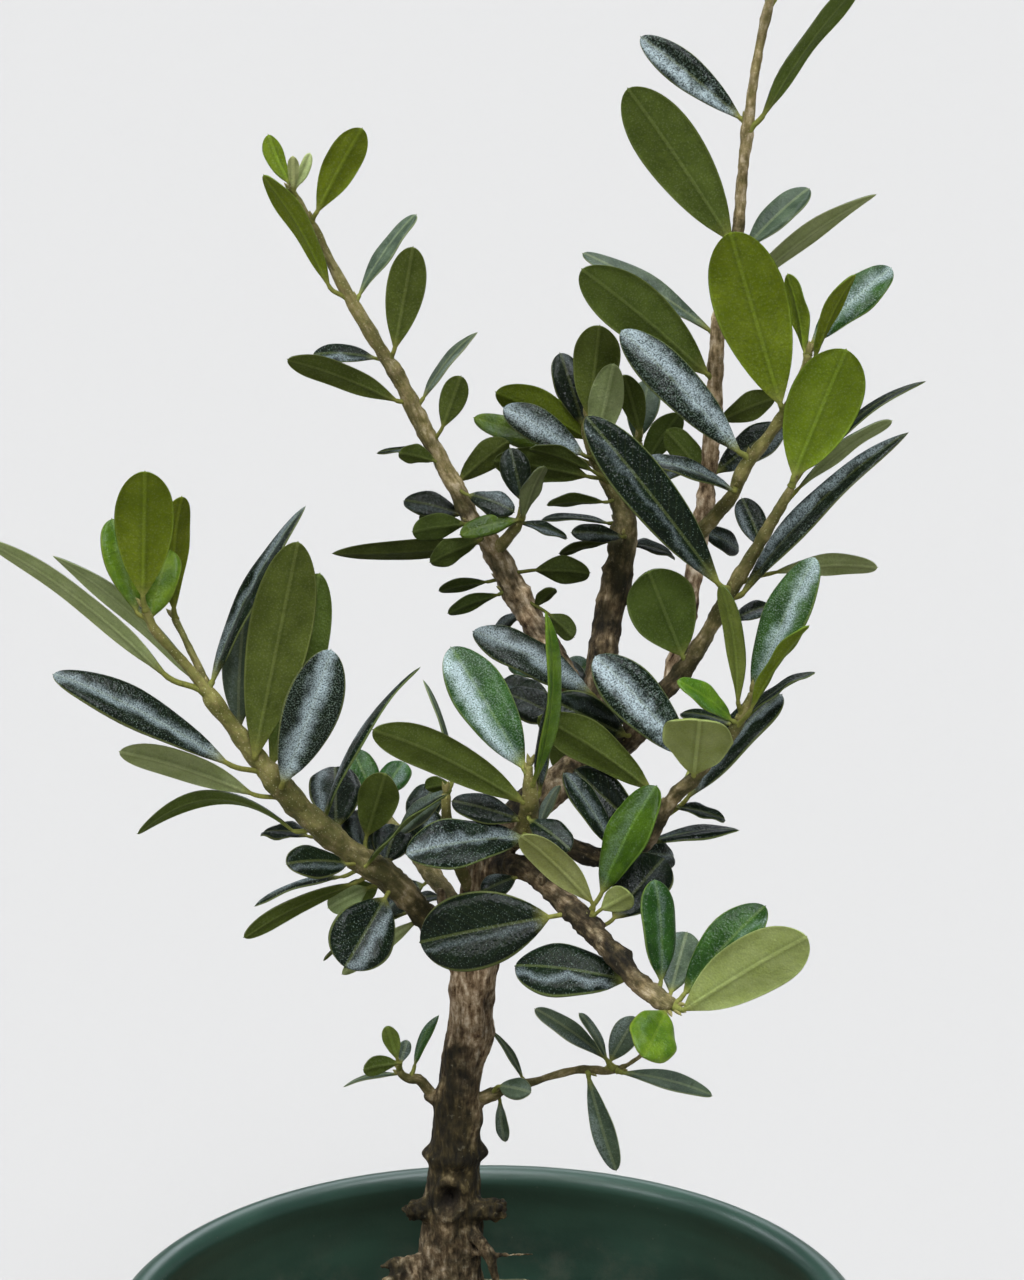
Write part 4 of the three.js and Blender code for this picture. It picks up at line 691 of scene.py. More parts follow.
# Where a blade's cross-section has its points, from the midrib to the rim
SECTION = {"fine": (0, 0.05, 0.12, 0.22, 0.36, 0.52, 0.68, 0.82, 0.92, 0.975, 1),
           "plain": (0, 0.1, 0.28, 0.5, 0.74, 0.92, 1)}
BLADE_RINGS = {"fine": 26, "plain": 15}
SMALL_LEAF = 13  # shorter leaves have the plain section
CROWDING = 1.6  # how much closer the rings lie towards the tip
BLUNT_TIP = 0.9995
OUTLINES = {"oval": (0.8, 0.55), "lance": (0.8, 0.85)}
THICKNESS = 0.56
OPENING = 0.14  # the part of the blade's length in which its foot opens out
MIDRIB = 0.42
MIDRIB_HEIGHT = 0.24

# Each leaf draws how it is bent from these ranges
ARCHES = (-0.012, 0.012)
CURLS = (0.0, 0.14)
TWISTS = (-9, 9)
FOLDS = (0.14, 0.4)
ROLLS = (0.35, 0.8)
WAVES = (0.05, 0.15)
RIPPLES = (7, 13)

THINNEST_STALK = 0.3
STALK_GAIN = 0.0065  # how much thicker a petiole is for each millimetre of its blade
PETIOLE_RINGS = 8
PETIOLE_REACH = 1.2
STRAIGHTNESS = 10  # how much a petiole in line with its blade counts against a short one
AXIL_BUD = (1.5, 0.95)
BUD_BEARER = 7  # shorter leaves have no bud in their axil

# How thick the wax bloom lies and how strong the painted sheen is at most, where a leaf's row doesn't say
BLOOM_AND_SHEEN = 0.45

# Small leaves near the crown's heart stand in its shade
CROWN_HEART = (14, 142)
CROWN_REACH = 34
CROWN_SHADE = 0.6
SHADED_WIDTH = 9.5


def petiole_foot(stem, blade, along):
    """Where on the stem the petiole starts: near the blade, and in line with it."""
    t = np.linspace(0.02, 0.98, 200)
    reach = blade - stem.at(t)
    length = np.linalg.norm(reach, axis=1)
    astray = 1 - reach @ along / length
    return t[np.argmin(length * (1 + STRAIGHTNESS * astray))]


def half_widths(s, row):
    """The blade's outline: half its width at each part s of its length."""
    rise, fall = OUTLINES[row["outline"]]
    widest = rise / (rise + fall)
    peak = widest**rise * (1 - widest) ** fall
    return row["wide"] / 2 * s**rise * (1 - s) ** fall / peak


class Leaf:
    """One leaf with its petiole, as a single skin.

    s runs from 0 at the blade's foot to 1 at its tip, and v from -1 at one rim to 1 at the other.
    face is 1 on the upper side, -1 on the underside and 0 on the rims.
    """

    def __init__(self, stem, row, chance):
        self.stem, self.row = stem, row
        near = stem.nearest(*row["base"])
        depth = stem.at(near)[1] + row["out"] + np.sign(row["lean"]) * PETIOLE_REACH
        self.blade = place(*row["base"], depth)
        end = place(*row["tip"], depth + row["lean"])
        self.length = np.linalg.norm(end - self.blade)
        self.along = unit(end - self.blade)
        towards_eye = squared(EYE - self.blade, self.along)
        self.beside = np.cross(self.along, towards_eye)
        turn = math.radians(row["turn"])
        self.upper = towards_eye * math.cos(turn) + self.beside * math.sin(turn)
        self.across = np.cross(self.along, self.upper)

        self.foot = petiole_foot(stem, self.blade, self.along)
        self.root = stem.at(self.foot)
        self.outward = unit(self.blade - self.root)
        tangent = stem.tangent(self.foot)
        self.onward = tangent * np.sign(tangent @ self.along)
        self.stalk_radius = THINNEST_STALK + STALK_GAIN * self.length

        self.luck = chance.random()
        self.arch = row["arch"] + chance.uniform(*ARCHES)
        self.curl = chance.uniform(*CURLS)
        self.twist = chance.uniform(*TWISTS)
        self.fold = chance.uniform(*FOLDS)
        self.roll = chance.uniform(*ROLLS)
        self.wave = chance.uniform(*WAVES)
        self.ripple = chance.uniform(*RIPPLES)

        fineness = "fine" if self.length > SMALL_LEAF else "plain"
        half = SECTION[fineness]
        v = [-part for part in half[:0:-1]] + list(half)
        within = len(v) - 2
        self.v = np.array(v + v[-2:0:-1])
        self.face = np.array([0] + [1] * within + [0] + [-1] * within)
        self.s = 1 - (1 - np.linspace(0, 1, BLADE_RINGS[fineness])) ** CROWDING
        self.s[-1] = BLUNT_TIP
        self.opening = smooth_step(self.s, 0, OPENING)
        narrow = self.stalk_radius * (1 - self.opening)
        self.half = np.sqrt(half_widths(self.s, row) ** 2 + narrow**2)
        self.x = self.half[:, None] * self.v

    def relief(self):
        """How high the blade's points stand: folded, rolled at the rims and waved, with its midrib."""
        v, s, half, opening = self.v, self.s[:, None], self.half[:, None], self.opening[:, None]
        dish = self.fold * half * (np.sqrt(v**2 + 0.05) - math.sqrt(0.05))
        roll = self.roll * half * np.clip(np.abs(v) - 0.6, 0, 1) ** 2 * 2.2
        waves = self.wave * half * v**2 * np.sin(s * self.ripple + v * 1.4 + self.luck * 6)
        thickness = self.stalk_radius + (THICKNESS / 2 - self.stalk_radius) * opening
        thickness = thickness * np.minimum(1, half / 0.9) ** 0.6
        lens = np.sqrt(np.clip(1 - np.abs(v) ** (2 + 4 * opening), 0, 1))
        rib = MIDRIB_HEIGHT * (1 - s) ** 0.6 * bell(self.x, MIDRIB)
        rib = np.where(self.face < 0, -rib, -0.6 * rib) * opening
        return (dish - roll + waves) * opening + self.face * thickness * lens + rib

    def blade_points(self):
        s, length = self.s, self.length
        hump = 4 * s * (1 - s)
        lift = hump * self.arch * length - self.curl * np.clip(s - 0.55, 0, 1) ** 2 * length
        middle = self.blade + self.along * (s * length)[:, None]
        middle = middle + self.beside * (hump * self.row["bow"])[:, None] + self.upper * lift[:, None]
        twist = s * math.radians(self.twist)
        cosine, sine = np.cos(twist)[:, None], np.sin(twist)[:, None]
        across = self.across * cosine + self.upper * sine
        upper = self.upper * cosine - self.across * sine
        points = middle[:, None] + across[:, None] * self.x[:, :, None]
        return points + upper[:, None] * self.relief()[:, :, None]

    def petiole_points(self, start, reach):
        """Rings along a curve from inside the stem to the blade. p1 and p2 are its two handles."""
        blade = self.blade
        arrive = unit(self.along + 4 * self.arch * self.upper)
        leave = unit(self.outward + 0.35 * self.onward)
        p1, p2 = start + leave * reach * 0.4, blade - arrive * reach * 0.4
        q = np.linspace(0, 1, PETIOLE_RINGS + 1)[:-1, None]
        line = (1 - q) ** 3 * start + 3 * (1 - q) ** 2 * q * p1 + 3 * (1 - q) * q**2 * p2 + q**3 * blade
        slope = unit((1 - q) ** 2 * (p1 - start) + 2 * (1 - q) * q * (p2 - p1) + q**2 * (blade - p2))
        across = carried_frames(slope[::-1], self.across)[0][::-1]
        upper = np.cross(across, slope)
        flare = 1 + 0.75 * np.exp(-q * reach / 0.9)
        girth = self.stalk_radius * (0.9 + 0.1 * flare) * flare
        turned = self.v * math.pi / 2
        points = line[:, None] + across[:, None] * (girth * np.sin(turned))[:, :, None]
        return points + upper[:, None] * (girth * np.cos(turned) * self.face)[:, :, None]

    def shade(self):
        # Painted shade for small leaves near the crown's heart
        from_heart = np.array(self.row["base"]) - CROWN_HEART
        small = self.row["wide"] < SHADED_WIDTH
        return CROWN_SHADE * bell(np.hypot(*from_heart), CROWN_REACH) * small

    def add_to(self, skin, slot):
        start = self.root + self.outward * self.stem.radius(self.foot) * 0.5
        reach = np.linalg.norm(self.blade - start)
        points = np.concatenate([self.petiole_points(start, reach), self.blade_points()])
        rings, sides = points.shape[:2]
        on_stalk = np.linspace(0, 1, PETIOLE_RINGS + 1)[:-1]
        stalk = np.concatenate([np.ones(PETIOLE_RINGS), 1 - smooth_step(self.s, 0, 0.1)])
        along = np.concatenate([-reach * (1 - on_stalk), self.s * self.length])
        across = np.concatenate([np.zeros((PETIOLE_RINGS, sides)), self.x])
        rim = np.concatenate([np.zeros((PETIOLE_RINGS, sides)), np.abs(self.v) * self.opening[:, None]])
        tip = points[-1].mean(axis=0) + self.along * 0.3
        faces = rings_to_faces(rings, sides, closed_end=False)
        last = (rings - 1) * sides
        faces += [[last + side, last + (side + 1) % sides, rings * sides] for side in range(sides)]
        bloom = self.row["bloom"]
        if bloom is None:
            bloom = BLOOM_AND_SHEEN * (13.7 * self.luck % 1)
        skin.add(np.vstack([points.reshape(-1, 3), tip]), faces, slot,
                 side=np.append(np.tile((self.face + 1) / 2, rings), 0.5), across=np.append(across, 0),
                 along=np.append(np.repeat(along, sides), self.length), rim=np.append(rim, 1),
                 stalk=np.append(np.repeat(stalk, sides), 0), luck=self.luck * 0.98 + 0.01, bloom=bloom,
                 hollow=self.shade())

    def add_bud(self, skin, slot):
        """The bud in the leaf's axil."""
        on_bark = self.outward * self.stem.radius(self.foot) * 0.92
        foot = self.root + on_bark + self.onward * self.stalk_radius * 1.7
        bud_skin(skin, foot, unit(self.outward + self.onward * 1.3), *AXIL_BUD, slot)


def leaf_skin(skin, stem, row, slot, bark_slot, chance):
    """Adds a leaf. Returns the place of the petiole's foot along the stem, and the petiole's way out."""
    leaf_shape = Leaf(stem, row, chance)
    leaf_shape.add_to(skin, slot)
    if row["kind"] != "bud" and leaf_shape.length > BUD_BEARER:
        leaf_shape.add_bud(skin, bark_slot)
    return leaf_shape.foot, leaf_shape.outward


# Materials


def tone(red, green, blue):
    """A colour from its display values, which run from 0 to 255."""
    parts = [channel / 255 for channel in (red, green, blue)]
    return tuple(p / 12.92 if p <= 0.04045 else ((p + 0.055) / 1.055) ** 2.4 for p in parts) + (1.0,)


class Wire:
    """What comes out of a shader node. Arithmetic on it adds more nodes to its tree."""

    def __init__(self, tree, socket):
        self.tree, self.socket = tree, socket

    def math(self, operation, *others):
        return wire(self.tree, "Math", dict(enumerate((self, *others))), operation=operation)

    def __add__(self, other):
        return self.math("ADD", other)

    def __sub__(self, other):
        return self.math("SUBTRACT", other)

    def __mul__(self, other):
        return self.math("MULTIPLY", other)

    def __abs__(self):
        return self.math("ABSOLUTE")

    def band(self, low, high):
        """Turns smoothly from 0 at low to 1 at high."""
        inputs = {"Value": self, "From Min": low, "From Max": high}
        return wire(self.tree, "MapRange", inputs, interpolation_type="SMOOTHSTEP")

    def between(self, low, high):
        """Runs from low to high as this runs from 0 to 1."""
        return wire(self.tree, "MapRange", {"Value": self, "To Min": low, "To Max": high})


def feed(tree, socket, value):
    if isinstance(value, Wire):
        tree.links.new(value.socket, socket)
    else:
        socket.default_value = value


def wire(tree, kind, inputs, output=0, **settings):
    """Adds a node to the tree and returns what comes out of it."""
    node = tree.nodes.new(f"ShaderNode{kind}")
    for name, value in settings.items():
        setattr(node, name, value)
    for name, value in inputs.items():
        feed(tree, node.inputs[name], value)
    return Wire(tree, node.outputs[output])


class Paint:
    """One material, whose colour, roughness and relief are put together step by step."""

    def __init__(self, name):
        self.material = bpy.data.materials.new(name)
        self.material.use_nodes = True
        self.tree = self.material.node_tree
        self.shader = self.tree.nodes["Principled BSDF"]
        self.place = self.wire("TexCoord", {}, "Object")

    def wire(self, kind, inputs, output=0, **settings):
        return wire(self.tree, kind, inputs, output, **settings)

    def values(self, *names):
        return [self.wire("Attribute", {}, "Fac", attribute_name=name) for name in names]

    def spot(self, x, y, z):
        return self.wire("CombineXYZ", {0: x, 1: y, 2: z})

    def noise(self, vector, scale, detail=3, rough=0.5):
        return self.wire("TexNoise", {"Vector": vector, "Scale": scale, "Detail": detail, "Roughness": rough})

    def cells(self, vector, scale):
        return self.wire("TexVoronoi", {"Vector": vector, "Scale": scale}, "Distance")

    def mix(self, part, first, second):
        """first where part is 0, and second where it is 1."""
        return self.wire("Mix", {0: part, 6: first, 7: second}, 2, data_type="RGBA")

    def ramp(self, value, stops):
        """Each stop is a value and its colour, from the lowest value to the highest."""
        colour = self.wire("ValToRGB", {"Fac": value}, "Color")
        points = colour.socket.node.color_ramp.elements
        points.remove(points[1])
        for index, (position, tint) in enumerate(stops):
            point = points.new(position) if index else points[0]
            point.position, point.color = position, tint
        return colour

    def finish(self, colour, roughness, height, depth, specular=0.5, **more):
        """height counts in depths, and depth is in millimetres. more names other sockets, _ for a space."""
        relief = self.wire("Bump", {"Height": height, "Distance": depth * MM, "Strength": 1})
        sockets = {"Base Color": colour, "Roughness": roughness, "Normal": relief, "Coat Normal": relief,
                   "Specular IOR Level": specular}
        sockets |= {name.replace("_", " "): value for name, value in more.items()}
        for name, value in sockets.items():
            feed(self.tree, self.shader.inputs[name], value)
        return self.material


# What all leaves share: the wax's pale flecks, which are partly painted glints, and a lane of painted sheen,
# the underside's felt, the painted shade in the groove beside its rib, the petiole, and the crown's painted
# shade
FLECK_AND_GLINT = tone(134, 152, 138)
PAINTED_SHEEN_TONE = tone(167, 182, 184)
FELT = tone(164, 172, 132)
RIB_GROOVE_SHADE = tone(44, 54, 22)
STALK = (tone(86, 90, 40), tone(124, 124, 62))
CROWN_DARK = tone(16, 20, 10)
VEIN_SPACING = 2.3
SHEEN_REACH = 2.8  # how far from the midrib the middle of a painted sheen lane can lie


class LeafPaint(Paint):
    """A leaf's material, with its patterns laid out in millimetres along the midrib and across it."""

    def __init__(self, name):
        super().__init__(name)
        side, self.across, along, rim = self.values("side", "across", "along", "rim")
        self.stalk, self.luck, self.bloom, self.shade = self.values("stalk", "luck", "bloom", "hollow")
        spot = self.spot(self.across, along, self.luck * 90 + side * 40)
        self.top = side.band(0.45, 0.55)
        self.blotches = self.noise(spot, 0.22)
        self.mottle = self.noise(spot, 1.3, 4, 0.6)
        self.scales = self.cells(spot, 1.9)
        self.dimples = self.noise(spot, 2.2, 0)
        self.swells = self.noise(spot, 0.85, 1)
        self.dusting = self.noise(spot, 0.5, 2)
        self.grain = self.noise(spot, 3.2, 2, 0.6)

        # Side veins leave the midrib at about 45 degrees
        from_rib = abs(self.across)
        lean = from_rib * -1.25 + (self.mottle * 0.7 + along)
        wave = (lean * (2 * math.pi / VEIN_SPACING)).math("SINE")
        self.veins = wave.band(0.72, 1) * rim.band(0.95, 0.6)
        self.midrib = from_rib.band(0.42, 0.16)
        self.beside_rib_shade = from_rib.band(1.3, 0.5) * from_rib.band(0.3, 0.5)
        self.edge = rim.band(0.91, 0.975)

    def flecks_and_glints(self):
        """The fine pale specks of the wax scales, partly painted glints."""
        return (self.bloom * 0.13 + self.grain).band(0.63, 0.72) * self.dusting.between(0, 0.85)

    def painted_sheen(self):
        """A painted sheen: a paler lane of painted reflection along the blade, at a place of each leaf's own.
        """
        middle = (self.luck * 7.3).math("FRACT") * (2 * SHEEN_REACH) + -SHEEN_REACH
        drift = self.blotches * 5 + -2.5
        off_sheen = abs(self.across + drift - middle)
        return off_sheen.band(self.bloom.between(1, 3), 0) * self.bloom * self.grain.band(0.24, 0.6)

    def upper_side(self, tones, rib, wax_and_sheen):
        colour = self.mix(self.blotches.band(0.32, 0.7), *tones)
        colour = self.mix(self.mottle * 0.35, colour, tones[1])
        colour = self.mix(self.veins * 0.03, colour, rib)
        colour = self.mix(self.midrib * 0.2, colour, rib)
        # Pale wax flecks with painted glints, then a lane of painted sheen where the sky's reflection would
        # lie
        colour = self.mix(self.flecks_and_glints() * (0.55 * wax_and_sheen), colour, FLECK_AND_GLINT)
        return self.mix(self.painted_sheen() * (0.8 * wax_and_sheen), colour, PAINTED_SHEEN_TONE)

    def under_side(self, tones, rib):
        colour = self.mix(self.blotches.band(0.1, 0.9), *tones)
        colour = self.mix(self.scales.band(0.5, 0.12) * 0.07, colour, FELT)
        colour = self.mix(self.veins * 0.05, colour, rib)
        # Painted shade in the groove beside the midrib
        colour = self.mix(self.beside_rib_shade * 0.22, colour, RIB_GROOVE_SHADE)
        return self.mix(self.midrib * 0.3, colour, rib)

    def varied(self, colour):
        """Makes the colour differ a little from leaf to leaf and from place to place."""
        brightness = self.luck.between(0.88, 1.12) * self.grain.between(0.72, 1.28)
        brightness = brightness * self.mottle.between(0.84, 1.16)
        inputs = {"Color": colour, "Hue": self.luck.between(0.488, 0.512),
                  "Saturation": self.mottle.between(0.9, 1.08), "Value": brightness}
        return self.wire("HueSaturation", inputs)


def leaf_paint(name, upper, under, rib, gloss, wax_and_sheen):
    """upper and under are each a deep and a light tone, and rib colours the midrib, the veins and the rim.

    gloss is how rough the upper side's coat is, and the wax and sheen value is how strongly its pale wax
    flecks and its painted sheen show.
    """
    paint = LeafPaint(name)
    colour = paint.mix(paint.top, paint.under_side(under, rib), paint.upper_side(upper, rib, wax_and_sheen))
    colour = paint.mix(paint.edge * 0.6, colour, rib)
    colour = paint.mix(paint.stalk, colour, paint.mix(paint.mottle, *STALK))
    # Painted shade darkens small leaves deep in the crown
    colour = paint.varied(paint.mix(paint.shade, colour, CROWN_DARK))
    roughness = paint.top.between(0.66, 0.45) + paint.mottle.between(-0.06, 0.08) + paint.stalk * 0.15
    height = paint.scales * -0.5 + paint.veins * -0.15 + paint.swells * 2.4 + paint.dimples * 1.1
    coat = paint.top * 0.15 * (paint.stalk * -1 + 1)
    return paint.finish(colour, roughness, height + paint.grain * 0.8, 0.07, specular=0.04, Coat_Weight=coat,
                        Coat_Roughness=gloss)


OLD_BARK = [
    (0.37, tone(18, 15, 7)), (0.46, tone(34, 29, 15)), (0.54, tone(53, 45, 24)), (0.64, tone(94, 82, 50)),
]
FAIR_BARK = [
    (0.37, tone(56, 40, 26)), (0.46, tone(116, 95, 70)), (0.54, tone(158, 137, 108)),
    (0.63, tone(206, 188, 162)),
]
BARK_CRUST = tone(170, 162, 132)
SHOOT = (tone(82, 82, 34), tone(124, 120, 64))
SHOOT_CRUST = tone(118, 98, 66)
SHOOT_SPECK = tone(196, 192, 150)
BARK_SHADE = tone(26, 21, 14)


def bark_paint(name):
    """youth turns old bark into the skin of a green shoot, tan lightens it, and painted shade darkens its
    holes and cracks.
    """
    paint = Paint(name)
    youth, tan, hollow = paint.values("youth", "tan", "hollow")
    drawn = paint.spot(*paint.values("grain_x", "grain_y", "grain_z"))
    patches = paint.noise(paint.place, 170, 4, 0.6)
    fibres = paint.noise(drawn, 1, 4, 0.55)
    specks = paint.cells(paint.place, 1500)
    crust = paint.noise(paint.place, 620, 4, 0.7)
    old = paint.ramp(fibres * 0.5 + patches * 0.5, OLD_BARK)
    fair = paint.ramp(fibres * 0.6 + crust * 0.4, FAIR_BARK)
    wood = paint.mix((tan + (patches * 1.2 + -0.6)).band(0.15, 0.85), old, fair)
    wood = paint.mix(crust.band(0.6, 0.75) * 0.25, wood, BARK_CRUST)
    shoot = paint.mix(patches.band(0.35, 0.68), *SHOOT)
    shoot = paint.mix(crust.band(0.45, 0.7) * 0.4, shoot, SHOOT_CRUST)
    shoot = paint.mix(specks.band(0.28, 0.1) * 0.4, shoot, SHOOT_SPECK)
    # Painted shade darkens holes, cracks and broken pits
    colour = paint.mix(hollow, paint.mix(youth, wood, shoot), BARK_SHADE)
    roughness = youth.between(0.85, 0.6) + crust.between(-0.08, 0.1)
    return paint.finish(colour, roughness, fibres * 1.6 + crust * 0.8, 0.42, specular=0.2)


SOIL = [
    (0.3, tone(46, 38, 28)), (0.45, tone(78, 66, 48)), (0.57, tone(104, 90, 68)), (0.72, tone(142, 128, 104)),
]
CRUMBS = [
    (0.0, tone(58, 46, 32)), (0.3, tone(98, 80, 56)), (0.6, tone(136, 112, 80)), (0.86, tone(158, 142, 114)),
    (1.0, tone(196, 188, 168)),
]
DAMP_RIM = tone(112, 120, 92)
GRIT = tone(190, 184, 166)


def soil_paint(name):
    """luck picks each crumb's own tone and rim says how near the pot's wall it lies."""
    paint = Paint(name)
    luck, rim = paint.values("luck", "rim")
    crumbs = paint.noise(paint.place, 420, 5, 0.7)
    grit = paint.cells(paint.place, 1500)
    patches = paint.noise(paint.place, 75)
    colour = paint.mix(luck.band(0, 0.02) * 0.75, paint.ramp(crumbs, SOIL), paint.ramp(luck, CRUMBS))
    damp = rim.band(0.62, 0.98) * patches.band(0.36, 0.62)
    colour = paint.mix(damp * 0.6, colour, DAMP_RIM)
    colour = paint.mix(grit.band(0.2, 0.06) * 0.35, colour, GRIT)
    height = crumbs * 2.2 + grit * -0.8
    return paint.finish(colour, crumbs.between(0.86, 0.98), height, 0.45, specular=0.2)


PLASTIC = (tone(31, 54, 44), tone(43, 69, 56))
GRIME = tone(104, 98, 80)
DUST_SPECK = tone(112, 112, 96)
FLOW_STRETCH = (1, 1, 4)


def pot_paint(name):
    """Moulded plastic: a fine skin texture, faint flow marks, and dust near the soil and at the foot."""
    paint = Paint(name)
    up = paint.wire("SeparateXYZ", {0: paint.place}, "Z")
    flow_place = paint.wire("VectorMath", {0: paint.place, 1: FLOW_STRETCH}, operation="MULTIPLY")
    flow = paint.noise(flow_place, 26)
    skin = paint.noise(paint.place, 1500, 2)
    peel = paint.noise(paint.place, 420, 2)
    dust = paint.noise(paint.place, 120, 5, 0.7)
    by_soil = up.band(140 * MM, 121 * MM) * dust.band(0.42, 0.7)
    by_foot = up.band(30 * MM, 0) * dust.band(0.45, 0.72)
    grime = by_soil.math("MAXIMUM", by_foot) * 0.2
    specks = paint.cells(paint.place, 480).band(0.13, 0.05) * dust.band(0.48, 0.6)
    colour = paint.mix(grime, paint.mix(flow.band(0.3, 0.7), *PLASTIC), GRIME)
    colour = paint.mix(specks * 0.3, colour, DUST_SPECK)
    return paint.finish(colour, dust.between(0.3, 0.44) + grime * 0.9, skin + peel * 1.6, 0.02)


def floor_paint(name, colour):
    """One even tone with a very faint grain."""
    paint = Paint(name)
    grain = paint.noise(paint.place, 900, 2)
    darker = tuple(0.985 * part for part in colour[:3]) + (1.0,)
    return paint.finish(paint.mix(grain, darker, colour), 0.95, grain, 0.01, specular=0)


# Each leaf material: upper and under deep and light tones, the midrib's, gloss, and wax flecks with painted
# sheen
LEAF_PAINTS = {
    "dark": ("dark_leaf", (tone(4, 11, 4), tone(13, 24, 10)), (tone(62, 73, 26), tone(80, 92, 38)),
             tone(108, 118, 64), 0.13, 1.0),
    # Fresh leaves: young yellow-green with a painted glow of light shining through them
    "fresh": ("fresh_leaf", (tone(50, 78, 12), tone(84, 108, 26)), (tone(76, 89, 12), tone(94, 106, 26)),
              tone(112, 130, 44), 0.15, 0.4),
    "sage": ("sage_leaf", (tone(44, 56, 42), tone(70, 82, 62)), (tone(116, 128, 78), tone(138, 148, 100)),
             tone(146, 154, 106), 0.24, 0.5),
    "green": ("green_leaf", (tone(20, 44, 10), tone(42, 70, 24)), (tone(88, 104, 38), tone(108, 122, 56)),
              tone(104, 124, 56), 0.13, 0.85),
    "lime": ("lime_leaf", (tone(101, 113, 50), tone(123, 133, 72)), (tone(116, 124, 64), tone(133, 140, 86)),
             tone(160, 170, 104), 0.34, 0.12),
    "vivid": ("vivid_leaf", (tone(33, 55, 4), tone(55, 79, 13)), (tone(84, 112, 30), tone(102, 130, 46)),
              tone(104, 136, 48), 0.14, 0.25),
    "bud": ("bud_scale", (tone(126, 136, 76), tone(150, 158, 106)), (tone(134, 142, 84), tone(158, 164, 112)),
            tone(168, 172, 118), 0.5, 0.1),
}
MATERIALS = {"bark": bark_paint("bark"), "soil": soil_paint("soil"), "pot": pot_paint("pot_plastic")}
MATERIALS |= {kind: leaf_paint(*row) for kind, row in LEAF_PAINTS.items()}


# Trunk

TRUNK_VOXEL = 0.42
SMOOTHING = 10  # rounds
ROOT_HEART = 0.22  # how far along the trunk the roots leave it

# Each root's bearing, reach and radius
ROOTS = [(15, 24, 4), (78, 20, 3.4), (140, 26, 4.2), (205, 25, 4.6), (262, 22, 3.8), (318, 24, 3.6)]

# Marks on the trunk: how far up the sheet, and the bearing round the trunk
KNOT_HOLE = (17.8, -6)
RING_UP = 25.3
RING_SCARS = [(25.6, -88), (25.6, 90), (25.6, 176)]
RING_DENT = (22.4, 10)
PRUNING_SCAR = (55.6, 50)
CRACK_PLACES = [(up, 38 + 5 * math.sin(up)) for up in np.arange(44, 52.5, 0.5)]

# Old leaf scars and swellings on the trunk: up, bearing, size and how far they stand out
BUMPS = [
    (8, -60, 3, 0.9), (10, 70, 3.4, 0.7), (12.6, 20, 2, -0.5), (30.5, -30, 2.4, 0.5), (33, 60, 2.6, 0.7),
    (35.4, -85, 3, 0.8), (39.6, 5, 2.2, 0.45), (41.6, -70, 2.2, -0.4), (46, -40, 2.6, 0.5),
    (48.6, 110, 3, 0.6), (53, -20, 2, -0.35), (58.6, -70, 2.6, 0.6), (61, 30, 2.2, 0.5), (66.6, 60, 2.4, 0.5),
    (70.4, -20, 2, 0.4), (20, 150, 3, 0.7), (29, 170, 3, -0.5), (44, 190, 3, 0.6), (57, 160, 2.6, 0.5),
    (68, 200, 2.4, 0.5),
]

# How fair the trunk's bark is at each height up the sheet: tan foot, dark middle, pale top
TRUNK_TONES = [
    (-60, 0.6), (5, 0.34), (11, 0.2), (20, 0.14), (36, 0.16), (46, 0.36), (55, 0.62), (64, 0.8), (72, 0.5),
    (88, 0.3), (120, 0.35),
]

# Where the two stubs by the soil broke off, and how far the raggedness reaches
BROKEN_ENDS = [((-16.4, 14.4, 7.4), 3.6), ((3.8, 14.6, 6), 3.8)]


def root_stem(heart, bearing, reach, radius):
    """A root that leaves the trunk just above the soil and dives under it."""
    angle = math.radians(bearing)

    def out(distance, z):
        return [heart[0] + distance * math.cos(angle), heart[1] + distance * math.sin(angle), z]

    places = [out(2, SOIL_TOP + 9), out(reach * 0.42, SOIL_TOP + 2.5), out(reach, SOIL_TOP - 7)]
    return Stem(places, [radius, radius * 0.8, radius * 0.35])


def wood_tube(skin, stem, sides=20, spacing=0.8):
    rings = max(5, int(stem.length / spacing))
    skin.add(tube(stem, rings, sides, SHEET_ACROSS + 0.3 * SHEET_UP), rings_to_faces(rings, sides))


def grown_together(thing, voxel):
    """Melts a piece's overlapping parts into one skin. Returns its points in millimetres, and its faces."""
    melt = thing.modifiers.new("melt", "REMESH")
    melt.mode = "VOXEL"
    melt.voxel_size = voxel * MM
    whole = thing.evaluated_get(bpy.context.evaluated_depsgraph_get()).to_mesh()
    points = np.empty(len(whole.vertices) * 3)
    whole.vertices.foreach_get("co", points)
    faces = [list(face.vertices) for face in whole.polygons]
    bpy.data.objects.remove(thing)
    return points.reshape(-1, 3) / MM, faces


def edges_of(faces):
    pairs = np.array([(face[i - 1], face[i]) for face in faces for i in range(len(face))])
    return np.unique(np.sort(pairs, axis=1), axis=0)


def relaxed(points, edges, rounds):
    """Moves each point half way to the middle of its neighbours, round by round."""
    degree = np.bincount(edges.ravel(), minlength=len(points))[:, None]
    for _ in range(rounds):
        total = np.zeros_like(points)
        np.add.at(total, edges[:, 0], points[edges[:, 1]])
        np.add.at(total, edges[:, 1], points[edges[:, 0]])
        points = 0.5 * points + 0.5 * total / degree
    return points


def normals_of(points, faces):
    quads = np.array([face if len(face) == 4 else [*face, face[-1]] for face in faces])
    a, b, c, d = (points[quads[:, k]] for k in range(4))
    normal = np.cross(c - a, d - b)
    total = np.zeros_like(points)
    for k in range(4):
        np.add.at(total, quads[:, k], normal)
    return unit(total + 1e-12)


def trunk_across(up):
    route = np.array(WOOD["trunk"])
    return np.interp(up, route[:, 1], route[:, 0])


def on_trunk(trunk, up, bearing):
    """A place on the trunk's skin. Bearing 0 faces the eye and 90 faces right."""
    t = trunk.nearest(trunk_across(up), up)
    angle = math.radians(bearing)
    return trunk.at(t) + trunk.radius(t) * np.array([math.sin(angle), -math.cos(angle), 0])


